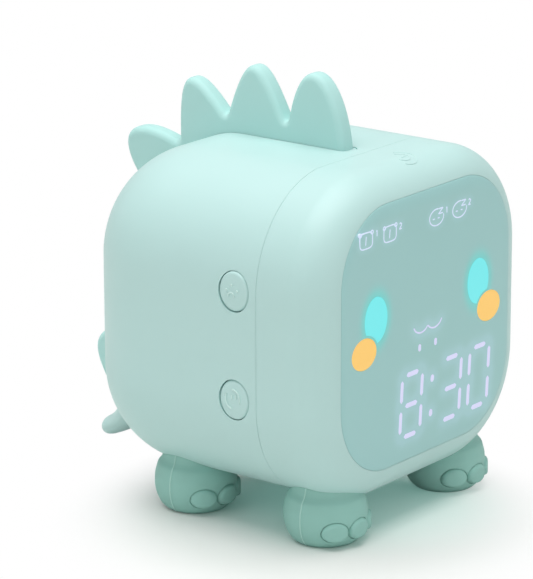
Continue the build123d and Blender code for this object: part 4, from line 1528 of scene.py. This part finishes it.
@dataclass
class Crest:
    """Seven soft spikes in one strip, in millimetres (y, z) in the middle plane."""

    form: CasingForm
    thick: float = 5.6
    rim: float = 1.9
    valley_round: float = 1.2
    steps: int = 120
    spikes: tuple[tuple[tuple[float, float], ...], ...] = (
        ((-16.2, 39.0), (-14.9, 62.2), (1.2, 73.3), (3.0, 35.7)),
        ((-1.3, 37.5), (11.6, 66.9), (15.3, 67.3), (23.6, 38.3)),
        ((18.0, 41.0), (37.2, 64.4), (38.0, 53.7), (36.7, 29.0)),
        ((29.0, 32.6), (56.9, 47.2), (65.7, 33.9), (38.6, 13.9)),
        ((38.5, 25.0), (67.9, 14.5), (67.1, 9.7), (39.5, -6.0)),
        ((39.0, 6.5), (67.0, -5.2), (67.1, -6.4), (43.9, -27.5)),
        ((43.7, -15.2), (77.2, -17.5), (67.0, -27.0), (57.2, -42.5)),
    )
    root: tuple[tuple[float, float], ...] = (
        (52.0, -36.5), (46.0, -28.0), (39.0, -11.5), (38.0, 2.0),
        (37.5, 12.0), (34.5, 22.0), (27.0, 31.0), (15.8, 36.5),
    )
    root_depth: float = 2.3  # how far it reaches into the casing's slot
    tail_ridge: tuple[tuple[float, float], ...] = (
        (40.75, -11.5), (48.6, -30.0), (57.4, -41.4), (57.4, -60.0), (-40.0, -60.0),
    )
    pad: tuple[float, float] = (-14.85, 2.85)  # place and radius of the slot's round filling
    pad_levels: tuple[float, float] = (-1.2, -0.2)
    fine: int = 6  # points on a spike's curve for every one that is kept
    corner_run: int = 8  # points from a valley's corner that give its direction

    def crossing(self, this: Array, following: Array) -> tuple[int, int]:
        """Where the back of one spike meets the front of the next.

        Args:
            this: Points along the first spike.
            following: Points along the second one.

        Returns:
            The index on each of the two points that lie nearest to one another.
        """
        back, front = this[len(this) // 2 :], following[: len(following) // 2]
        gap = np.linalg.norm(back[:, None] - front[None], axis=-1)
        last, first = np.unravel_index(gap.argmin(), gap.shape)
        return len(this) // 2 + int(last), int(first)

    def valley(self, this: Array, following: Array) -> tuple[Array, Array, Array]:
        """Round the corner between two runs of points.

        A round of radius r starts r / tan(half the corner's angle) from the corner on either side.
        It is drawn as the parabola (1 - t)^2 start + 2 t (1 - t) corner + t^2 end.

        Args:
            this: Points that end in the corner.
            following: Points that start there.

        Returns:
            The two runs cut back, and the points of the round between them.
        """
        corner = (this[-1] + following[0]) / 2
        ways = np.stack([this[-self.corner_run - 1] - corner, following[self.corner_run] - corner])
        ways /= np.linalg.norm(ways, axis=1, keepdims=True)
        reach = self.valley_round / math.tan(math.acos(float(ways[0] @ ways[1])) / 2)
        this = this[np.linalg.norm(this - corner, axis=1) > reach]
        following = following[np.linalg.norm(following - corner, axis=1) > reach]
        t = np.linspace(0.0, 1.0, 12)[1:-1, None]
        return this, following, (1 - t) ** 2 * this[-1] + 2 * t * (1 - t) * corner + t**2 * following[0]

    def edge_line(self) -> Array:
        """The strip's outer edge over all spikes.

        Returns:
            Array of shape (n, 2), from the front end to the last one.
        """
        fine = self.fine
        curves = [bezier(points, fine * self.steps) for points in self.spikes]
        starts, ends = [0], []
        for this, following in zip(curves, curves[1:]):
            last, first = self.crossing(this, following)
            ends.append(last)
            starts.append(first)
        runs = [curve[first:last] for curve, first, last in zip(curves, starts, ends + [fine * self.steps])]
        line = []
        for index in range(len(runs) - 1):
            runs[index], runs[index + 1], bend = self.valley(runs[index], runs[index + 1])
            line += [runs[index][::fine], bend]
        return np.concatenate([*line, runs[-1][::fine], runs[-1][-1:]])

    def blank(self) -> bpy.types.Object:
        """The strip before its root is trimmed.

        Rows follow the rim: a quarter circle from one flat side, straight across, and a quarter
        circle to the other.  In each the outer edge is drawn in along its normals, and the root,
        which stays inside the casing, closes the ring.

        Returns:
            The closed strip.
        """
        line = self.edge_line()[::-1]
        along = np.gradient(line, axis=0)
        along /= np.linalg.norm(along, axis=1, keepdims=True)
        inward = np.stack([-along[:, 1], along[:, 0]], axis=1)
        turn = np.linspace(0.0, math.pi / 2, 9)
        inset = self.rim * (1 - np.sin(turn))
        level = self.thick / 2 - self.rim * (1 - np.cos(turn))
        insets = np.concatenate([inset, inset[::-1]])
        levels = np.concatenate([-level, level[::-1]])
        edge = line + insets[:, None, None] * inward
        root = np.broadcast_to(np.array(self.root)[::-1], (len(insets), len(self.root), 2))
        flat = np.concatenate([edge, root], axis=1)
        points = self.form.profile_face().place(flat, np.broadcast_to(levels[:, None], flat.shape[:2]))
        return grid_piece("spiked_crest", points[:, ::-1], cap_ends=True)

    def root_tool(self) -> bpy.types.Object:
        """What the crest may not reach into: the inside of the casing under its slot, and the tail.

        Returns:
            The closed tool.
        """
        form = self.form
        start = [-40.0, form.half_height - self.root_depth]
        slot_end = [[form.rear_y - self.root_depth, 2.0], [form.rear_y + 0.05, 2.0]]
        outline = np.concatenate([[start], form.rear_bend(self.root_depth), slot_end, self.tail_ridge])[::-1]
        return form.profile_face().plate("root_tool", outline, -self.thick, self.thick)

    def build(self) -> None:
        """Build and dress the crest, and the pad that fills the round front end of its slot."""
        crest = carve(self.blank(), self.root_tool())
        dress(weigh_normals(smooth(crest, 45)), CREST_SILICONE, ("crest",))
        pad_y, pad_radius = self.pad
        top = self.form.level_face(self.form.half_height)
        pad = top.plate("crest_root_pad", ellipse((0.0, pad_y), (pad_radius,) * 2), *self.pad_levels, 0.15)
        dress(smooth(pad, 50), CASING_ABS)


@dataclass
class Tail:
    """The rounded taper behind the crest: sections as (upper point, lower point, half width)."""

    form: CasingForm
    sections: tuple[tuple[tuple[float, float], tuple[float, float], float], ...] = (
        ((35.0, 6.0), (31.0, -27.0), 12.8),
        ((42.2, -8.5), (38.2, -32.0), 12.3),
        ((47.0, -21.8), (43.4, -36.3), 10.6),
        ((54.0, -33.2), (50.2, -42.4), 8.0),
        ((60.4, -41.5), (57.5, -46.9), 5.4),
        ((65.6, -45.1), (63.7, -49.6), 3.7),
    )
    slot: tuple[tuple[float, float], ...] = (
        (40.0, 12.0), (40.0, -11.7), (48.5, -30.15), (57.2, -41.6), (57.2, -42.8), (57.37, -42.6),
        (58.84, -40.33), (60.28, -38.14), (62.0, -35.4), (75.0, -30.0), (75.0, 12.0),
    )
    slot_half: float = 2.95
    tip_round: float = 1.4
    rows: int = 60
    crowded_rows: int = 3  # left out before the tip, where the sections crowd together

    def build(self) -> None:
        """Build and dress the tail.

        Rows are ellipses between an upper and a lower edge curve, with the half width as the other
        radius.  The edge curves and the width are smooth curves through the sections, and the last
        rows shrink on a quarter circle to close the tip.
        """
        table = np.array([[*upper, *lower, half] for upper, lower, half in self.sections])
        table = smooth_through(table, self.rows)
        upper, lower, half = table[:, 0:2], table[:, 2:4], table[:, 4]
        middle, chord = (upper + lower) / 2, (upper - lower) / 2
        tip_way = middle[-1] - middle[-2]
        tip_way /= np.linalg.norm(tip_way)
        turn = np.linspace(0.0, math.pi / 2, 12)[1:]
        shrink = 1 - (1 - np.cos(turn)) * self.tip_round / np.linalg.norm(chord[-1])
        shrink = np.append(shrink, 0.0)
        push = np.append(np.sin(turn), 1.0) * self.tip_round - self.tip_round
        body = slice(-self.crowded_rows)
        middle = np.concatenate([middle[body], middle[-1] + push[:, None] * tip_way])
        chord = np.concatenate([chord[body], chord[-1] * shrink[:, None]])
        half = np.concatenate([half[body], half[-1] * shrink])
        angle = np.linspace(0.0, 2 * math.pi, 80, endpoint=False)
        yz = middle[:, None, :] + chord[:, None, :] * np.cos(angle)[:, None]
        profile = self.form.profile_face()
        points = profile.place(yz, half[:, None] * np.sin(angle))
        tail = merge(grid_piece("tail_taper", points, cap_ends=True))
        carve(tail, self.form.solid("tail_trim", TRIM_GAP_MM))
        carve(tail, profile.plate("tail_slot", np.array(self.slot), -self.slot_half, self.slot_half))
        dress(weigh_normals(smooth(tail, 45)), CASING_ABS, ("tail",))


# ---------------------------------------------------------------- feet and buttons


@dataclass
class Foot:
    """One rubber foot: a soft barrel with three toenails, in millimetres above the table."""

    form: CasingForm
    name: str
    x: float
    y: float
    profile: tuple[tuple[float, float], ...] = (
        (7.2, 0.0), (7.75, 0.12), (8.25, 0.5), (8.96, 1.2), (9.7, 2.5), (10.2, 3.8), (10.5, 5.1),
        (10.62, 6.4), (10.6, 7.7), (10.5, 9.0), (10.15, 10.4), (9.75, 11.7), (9.0, 12.7), (8.6, 13.5),
        (8.2, 16.0), (8.2, 19.0),
    )
    core: float = 4.0  # radius of the flat ends' inner ring
    toe_angles: tuple[float, ...] = (-40.0, 0.0, 40.0)
    toe_radii: tuple[float, float, float] = (3.55, 2.75, 2.45)  # half width, rise and fall
    toe_z: float = 4.6
    toe_reach: float = 11.45
    toe_groove: tuple[float, float] = (0.2, 0.35)  # width and depth
    rib: tuple[float, float] = (0.22, 0.16)  # half width and rise
    rib_ends: tuple[float, float] = (0.4, 15.2)
    rib_root: float = -0.4

    def about_axis(self, reach: Array, angle: Array, height: Array) -> Array:
        """Points at a distance, direction and height from the foot's upright axis.

        Args:
            reach: Distances in millimetres.
            angle: Directions in radians, 0 towards +X.
            height: Heights above the table in millimetres.

        Returns:
            Array of shape (..., 3), in metres.
        """
        flat = np.broadcast_arrays(reach * np.cos(angle), reach * np.sin(angle), height)
        return np.array([self.x, self.y, 0.0]) + MM * np.stack(flat, axis=-1)

    def radius_at(self, height: Array) -> Array:
        """Radius of the barrel at a height, read from its smooth profile."""
        curve = smooth_through(self.profile, 300)
        return np.interp(height, curve[:, 1], curve[:, 0])

    def barrel(self) -> bpy.types.Object:
        """The barrel: circles whose radius is the profile's at each height, closed at both ends.

        Returns:
            The closed barrel.
        """
        curve = smooth_through(self.profile, 90)
        top = self.profile[-1][1]
        rows = np.concatenate([[[0.0, 0.0], [self.core, 0.0]], curve, [[self.core, top], [0.0, top]]])
        angle = np.linspace(0.0, 2 * math.pi, 208, endpoint=False)
        points = self.about_axis(rows[:, :1], angle, rows[:, 1:])
        return merge(grid_piece("barrel", points[:, ::-1]))

    def mould_rib(self) -> bpy.types.Object:
        """The fine rib up the foot's outer side, where the two halves of the mould met.

        Each row is a small trapezium across the rib, set on the barrel's radius at that height: its
        foot lies under the skin and its crown stands proud of it.

        Returns:
            The closed rib.
        """
        half, rise = self.rib
        height = np.linspace(*self.rib_ends, 48)[:, None]
        radius = self.radius_at(height)
        root = self.rib_root
        section = np.array([(-half, root), (-half / 2, rise), (half / 2, rise), (half, root)])
        angle = (0.0 if self.x > 0 else math.pi) + section[:, 0] / radius
        points = self.about_axis(radius + section[:, 1], angle, height)
        return grid_piece(f"mould_rib_{self.name}", points[:, ::-1], cap_ends=True)

    def toenail(self, turn: float, grow: float = 0.0, sink: float = 0.0) -> bpy.types.Object:
        """One toenail, or with a growth the tool for the groove round it.

        In polar steps (share, t) over the nail it covers an angle across and a height up the
        barrel.  Its upper edge is a half ellipse and its lower edge a flatter one.  A nail rises
        from the skin to its reach, with a round edge of share^8; a tool stands proud everywhere.
        Both close on a core: the nail deep in the barrel, the tool at the groove's depth.

        Args:
            turn: Direction in degrees, 0 to the front.
            grow: How much wider than the nail.
            sink: Depth of the tool's floor under the skin; 0 makes the nail itself.

        Returns:
            The closed nail or tool.
        """
        share = np.concatenate([np.linspace(0.0, 0.8, 10), np.linspace(0.83, 1.0, 12)])[:, None]
        t = np.linspace(0.0, 2 * math.pi, 72, endpoint=False)[None, :]
        half, rise, fall = (radius + grow for radius in self.toe_radii)
        across = half * share * np.cos(t)
        height = self.toe_z + np.where(np.sin(t) > 0, rise, fall) * share * np.sin(t)
        skin = self.radius_at(height)
        top = skin + 1.0 if sink else self.toe_reach - (self.toe_reach - skin + 0.1) * share**8
        floor = skin - sink if sink else skin - 1.0
        way = math.radians(turn - 90) + across / skin
        outside, inside = (self.about_axis(reach, way, height) for reach in (top, floor))
        return merge(grid_piece("toenail", np.concatenate([outside, inside[::-1]])))

    def build(self) -> None:
        """Build and dress the foot, trimmed where it meets the casing."""
        foot = self.barrel()
        for turn in self.toe_angles:
            carve(foot, self.toenail(turn, *self.toe_groove))
            carve(foot, self.toenail(turn), Cut.JOIN)
        carve(foot, self.form.solid("foot_trim", TRIM_GAP_MM))
        foot.name = f"rubber_{self.name}"
        dress(weigh_normals(smooth(foot, 60)), FOOT_RUBBER, (self.name,))
        # painted highlight: the rib's paler colour
        dress(smooth(self.mould_rib(), 60), RIB_RUBBER)


class Symbol(Enum):
    """What is raised on a button."""

    LAMP = "upper"
    CLOCK = "lower"


@dataclass
class PushButton:
    """One side button with its raised symbol, in millimetres from the casing's middle."""

    form: CasingForm
    side: int
    symbol: Symbol
    y: float
    z: float
    radii: tuple[float, float] = (4.6, 5.1)
    face_x: float = 45.3
    inner_x: float = 38.2
    flange: tuple[float, float, float] = (5.9, 40.1, 41.0)  # radius, inner and outer side
    stem_radius: float = 1.6
    edge: float = 0.9  # radius of the cap's round edge
    dome: float = 0.3
    line: float = 0.42
    relief: float = 0.25
    line_root: float = -0.4

    def lift(self, flat: Array) -> Array:
        """Height of the domed face over points on it: -dome times their scaled distance squared."""
        return -self.dome * ((flat / np.array(self.radii)) ** 2).sum(axis=-1)

    def cap(self) -> bpy.types.Object:
        """The cap, flange and stem as one piece.

        Each row of it is an ellipse about the button's axis, given by its radius to the back, its
        radius upwards and its distance x: stem, flange, then the cap's wall, its round edge and
        its dome.

        Returns:
            The closed cap.
        """
        flange_radius, flange_in, flange_out = self.flange
        turn = np.linspace(0.0, math.pi / 2, 7)
        inset = self.edge * (1 - np.cos(turn))
        rim_x = self.face_x - self.dome - self.edge * (1 - np.sin(turn))
        share = np.linspace(1.0, 0.0, 12)[1:]
        wide, tall = self.radii
        inner = [
            (0.0, 0.0, self.inner_x), (self.stem_radius, self.stem_radius, self.inner_x),
            (self.stem_radius, self.stem_radius, flange_in), (flange_radius, flange_radius, flange_in),
            (flange_radius, flange_radius, flange_out), (wide, tall, flange_out),
        ]
        rim = np.stack([wide - inset, tall - inset, rim_x], axis=1)
        dome_x = self.face_x - self.dome * share**2
        dome = np.stack([(wide - self.edge) * share, (tall - self.edge) * share, dome_x], axis=1)
        back, up, x = np.concatenate([inner, rim, dome]).T[..., None]
        angle = np.linspace(0.0, 2 * math.pi, 96, endpoint=False) * self.side
        offset = np.stack(
            np.broadcast_arrays(self.side * x, back * np.cos(angle), up * np.sin(angle)), axis=-1
        )
        points = np.array(self.form.middle) + MM * (np.array([0.0, self.y, self.z]) + offset)
        return merge(grid_piece("cap", points[:, ::-1]))

    def lines(self) -> list[tuple[Array, bool]]:
        """The symbol's paths: a lamp's dome under three rays, or two clock hands in a broken ring.

        Returns:
            The paths, and whether each is closed.
        """
        if self.symbol is Symbol.LAMP:
            dome = ellipse((-0.4, -1.05), (0.95, 0.9), -10, 190, 32)
            spots = ((-1.85, 0.37), (-0.3, 1.75), (1.4, 0.43))
            return [(dome, False), *((ellipse(spot, (0.12, 0.12), count=12), True) for spot in spots)]
        arcs = [ellipse((-0.2, 0.3), (2.2, 2.45), start, start + 115, 40) for start in (-20, 150)]
        hands = [polyline([(x, low), (x, low + 1.05)], 16) for x, low in ((-0.35, 0.3), (0.9, 0.5))]
        return [(path, False) for path in arcs + hands]

    def build(self) -> None:
        """Build and dress the button on its own body."""
        level = self.symbol.value
        side_name = "left" if self.side > 0 else "right"
        node = f"button_{side_name}_{level}"
        face = self.form.side_face(self.side, self.y, self.z, self.face_x)
        cap = self.cap()
        cap.name = f"cap_{side_name}_{level}"
        dress(smooth(cap, 40), BUTTON_ABS, (node,), node)
        span = (self.line, self.line_root, self.relief)
        bars = [
            face.bar("raised", path, *span, closed, self.lift(path), crown=self.relief / 2)
            for path, closed in self.lines()
        ]
        symbol = gather(f"symbol_{side_name}_{level}", bars)
        # painted highlight: the symbols' paler colour
        dress(smooth(symbol, 40), SYMBOL_ABS, body=node)


@dataclass
class TouchMark:
    """The faint raised mark on the casing's top that shows where to touch."""

    form: CasingForm
    centre: tuple[float, float] = (1.5, -30.5)
    arcs: tuple[tuple[float, float, float], ...] = ((2.4, -150.0, 70.0), (4.1, -125.0, 60.0))  # radius, ends
    finger: tuple[tuple[float, float], ...] = ((1.2, -31.2), (3.9, -30.9))
    line: float = 0.5
    line_root: float = -0.4
    relief: float = 0.1

    def lift(self, flat: Array) -> Array:
        """Height of the top over points: 0, or the front fillet's drop -(r - sqrt(r^2 - d^2)).

        Args:
            flat: Array of shape (n, 2) of x and y.

        Returns:
            Array of shape (n,).
        """
        radius = self.form.front_rim
        past = np.maximum(self.form.front_y + radius - flat[..., 1], 0.0)
        return np.sqrt(radius**2 - past**2) - radius

    def build(self) -> None:
        """Build and dress the mark: arcs about one centre and a finger's stroke."""
        face = self.form.level_face(self.form.half_height)
        paths = [ellipse(self.centre, (radius, radius), start, end, 60) for radius, start, end in self.arcs]
        paths.append(polyline(list(self.finger), 20))
        span, crown = (self.line, self.line_root, self.relief), self.relief / 2
        bars = [face.bar("stroke", path, *span, lift=self.lift(path), crown=crown) for path in paths]
        dress(smooth(gather("touch_mark", bars)), CASING_ABS)


# ---------------------------------------------------------------- stage


def bearing(azimuth: float, elevation: float) -> Vector:
    """The direction to a place round the object: (sin a cos e, -cos a cos e, sin e).

    Args:
        azimuth: Its angle a round the object in degrees, 0 in front.
        elevation: Its angle e above the floor in degrees.

    Returns:
        A vector of length one.
    """
    turn, rise = math.radians(azimuth), math.radians(elevation)
    return Vector((math.sin(turn) * math.cos(rise), -math.cos(turn) * math.cos(rise), math.sin(rise)))


@dataclass(frozen=True)
class Lamp:
    """A soft rectangular light.  Its angles are a bearing's, and its sizes are in metres."""

    name: str
    azimuth: float
    elevation: float
    distance: float
    width: float
    height: float
    watts: float

    def build(self, middle: tuple[float, float, float]) -> None:
        """Put the light into the scene.

        Args:
            middle: The place it is aimed at.
        """
        back = bearing(self.azimuth, self.elevation)
        data = bpy.data.lights.new(self.name, "AREA")
        data.shape = "RECTANGLE"
        data.size, data.size_y, data.energy = self.width, self.height, self.watts
        light = bpy.data.objects.new(self.name, data)
        light.location = Vector(middle) + back * self.distance
        light.rotation_mode = "QUATERNION"
        light.rotation_quaternion = (-back).to_track_quat("-Z", "Y")
        bpy.context.scene.collection.objects.link(light)


@dataclass(frozen=True)
class Spot:
    """A round place on the floor: a value runs smoothly from one radius to another, in metres."""

    centre: tuple[float, float, float]
    start: float
    end: float

    def seen(self, tree: bpy.types.NodeTree, inside: float, outside: float) -> bpy.types.NodeSocket:
        """Add nodes for a value that only the camera sees; for every other ray it is 0.

        Args:
            tree: The floor's node tree.
            inside: The value within the first radius.
            outside: The value past the second radius.

        Returns:
            The socket with the value.
        """
        place = add_node(tree, "ShaderNodeTexCoord").outputs["Object"]
        away = add_node(tree, "ShaderNodeVectorMath", {"operation": "DISTANCE"}, _0=place, _1=self.centre)
        value = add_node(
            tree, "ShaderNodeMapRange", {"interpolation_type": "SMOOTHSTEP"}, _0=away.outputs["Value"],
            _1=self.start, _2=self.end, _3=inside, _4=outside,
        )
        camera = add_node(tree, "ShaderNodeLightPath").outputs["Is Camera Ray"]
        share = add_node(tree, "ShaderNodeMath", {"operation": "MULTIPLY"}, _0=value.outputs[0], _1=camera)
        return share.outputs[0]


@dataclass
class Studio:
    """Floor, lights, world and camera."""

    form: CasingForm
    azimuth: float = -52.9
    elevation: float = 16.25
    distance_mm: float = 900.0
    focal_px: float = 3503.0
    picture: tuple[int, int] = (533, 579)
    middle_px: tuple[float, float] = (298.55, 298.50)  # where the casing's middle lies in the picture
    sensor_mm: float = 36.0
    floor_half: float = 6.0
    plain: Spot = Spot((-0.018, -0.032, 0.0), 0.034, 0.070)
    # painted bounce light: where the camera sees a teal glow on the floor round the feet
    painted_bounce: Spot = Spot((0.004, -0.030, 0.0), 0.018, 0.050)
    sky: float = 0.52
    lamps: tuple[Lamp, ...] = (
        Lamp("top_light", -90, 84, 0.9, 0.9, 0.9, 8.0),
        Lamp("side_light", -95, 25, 1.1, 0.8, 0.8, 0.38),
        Lamp("strip_light", -11, 2, 1.0, 0.1, 1.0, 0.7),
    )

    def camera(self) -> None:
        """Set the camera on the viewing angle's line through the casing's middle.

        It turns from that line towards the picture's middle, whose ray is -back plus the pixel
        distances to the casing's middle over the focal length, without rolling.
        """
        back = bearing(self.azimuth, self.elevation)
        straight = (-back).to_track_quat("-Z", "Y")
        offset = (np.array(self.picture) / 2 - np.array(self.middle_px)) / self.focal_px
        aim = straight @ Vector((offset[0], -offset[1], -1.0))
        data = bpy.data.cameras.new("camera")
        data.sensor_width = self.sensor_mm
        data.lens = self.sensor_mm * self.focal_px / max(self.picture)
        data.clip_start, data.clip_end = 0.01, 20.0
        camera = bpy.data.objects.new("camera", data)
        bpy.context.scene.collection.objects.link(camera)
        camera.rotation_mode = "QUATERNION"
        camera.rotation_quaternion = (-back).rotation_difference(aim) @ straight
        camera.location = Vector(self.form.middle) + back * self.distance_mm * MM
        bpy.context.scene.camera = camera

    def floor(self) -> None:
        """A pale floor that keeps the shadow near the object and is plain white further out.

        Close to the feet the camera also sees a teal glow added to it, painted bounce light in the object's
        own colour.
        """
        edge = np.array([-self.floor_half, self.floor_half])
        x, y = np.meshgrid(edge, edge, indexing="ij")
        floor = grid_piece("floor", np.stack([x, y, 0 * x], axis=-1), wrap_columns=False)
        made = bpy.data.materials.new("painted_white_board")
        tree = empty_tree(made)
        matt = add_node(tree, "ShaderNodeBsdfDiffuse", Color=linear("E7E8E5"))
        near = self.painted_bounce.seen(tree, 1.0, 0.0)
        # painted bounce light: a teal glow on the floor near the feet, seen by the camera alone
        painted_bounce = add_node(tree, "ShaderNodeEmission", Color=linear("426F67"), Strength=near)
        floor_with_painted_bounce = add_node(tree, "ShaderNodeAddShader", _0=matt.outputs[0], _1=painted_bounce.outputs[0])
        white = add_node(tree, "ShaderNodeEmission", Color=linear("FFFFFF"), Strength=1.0)
        far = self.plain.seen(tree, 0.0, 1.0)
        mixed = add_node(tree, "ShaderNodeMixShader", _0=far, _1=floor_with_painted_bounce.outputs[0], _2=white.outputs[0])
        add_node(tree, "ShaderNodeOutputMaterial", Surface=mixed.outputs[0])
        floor.data.materials.append(made)

    def world(self) -> None:
        """A soft even sky, plain white to the camera."""
        world = bpy.data.worlds.new("studio")
        bpy.context.scene.world = world
        tree = empty_tree(world)
        camera = add_node(tree, "ShaderNodeLightPath").outputs["Is Camera Ray"]
        skies = [
            add_node(tree, "ShaderNodeBackground", Color=linear("FFFFFF"), Strength=strength).outputs[0]
            for strength in (self.sky, 1.0)
        ]
        mixed = add_node(tree, "ShaderNodeMixShader", _0=camera, _1=skies[0], _2=skies[1])
        add_node(tree, "ShaderNodeOutputWorld", Surface=mixed.outputs[0])

    def build(self) -> None:
        """Set the whole stage."""
        bpy.context.scene.view_settings.view_transform = "Standard"
        self.camera()
        self.floor()
        self.world()
        for lamp in self.lamps:
            lamp.build(self.form.middle)


def dress_nodes(record: dict) -> None:
    """Give every CAD node that still shows the finish of its slot.

    Args:
        record: The frame's record.
    """
    for part in record["subparts"]:
        node = bpy.data.objects.get(part["node"])
        if node is None or node.hide_render:
            continue
        for place in node.material_slots:
            place.material = SLOT_FINISHES[part["material_slot"]].material()
        log.info("%s keeps its CAD shape", part["node"])


def main() -> None:
    """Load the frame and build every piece."""
    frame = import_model()
    form = CasingForm.from_frame()
    window = WindowForm()
    casing = Casing(form, window)
    casing.build()
    symbols = ClockSymbols(form)
    LitFace(form, window).build([path for path, closed in symbols.paths()])
    symbols.build()
    Crest(form).build()
    Tail(form).build()
    for row, row_y in FOOT_ROWS_MM.items():
        for side in ("right", "left"):
            name = f"foot_{row}_{side}"
            low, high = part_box(name)
            x = (low[0] + high[0]) / 2
            Foot(form, name, x, form.middle[1] + MM * row_y).build()
    for side in (-1, 1):
        for symbol, z in zip(Symbol, casing.button_heights):
            PushButton(form, side, symbol, casing.button_y, z).build()
    TouchMark(form).build()
    dress_nodes(frame["record"])
    Studio(form).build()


if __name__ == "__main__":
    logging.basicConfig(level=logging.INFO, format="%(name)s %(message)s")
    main()
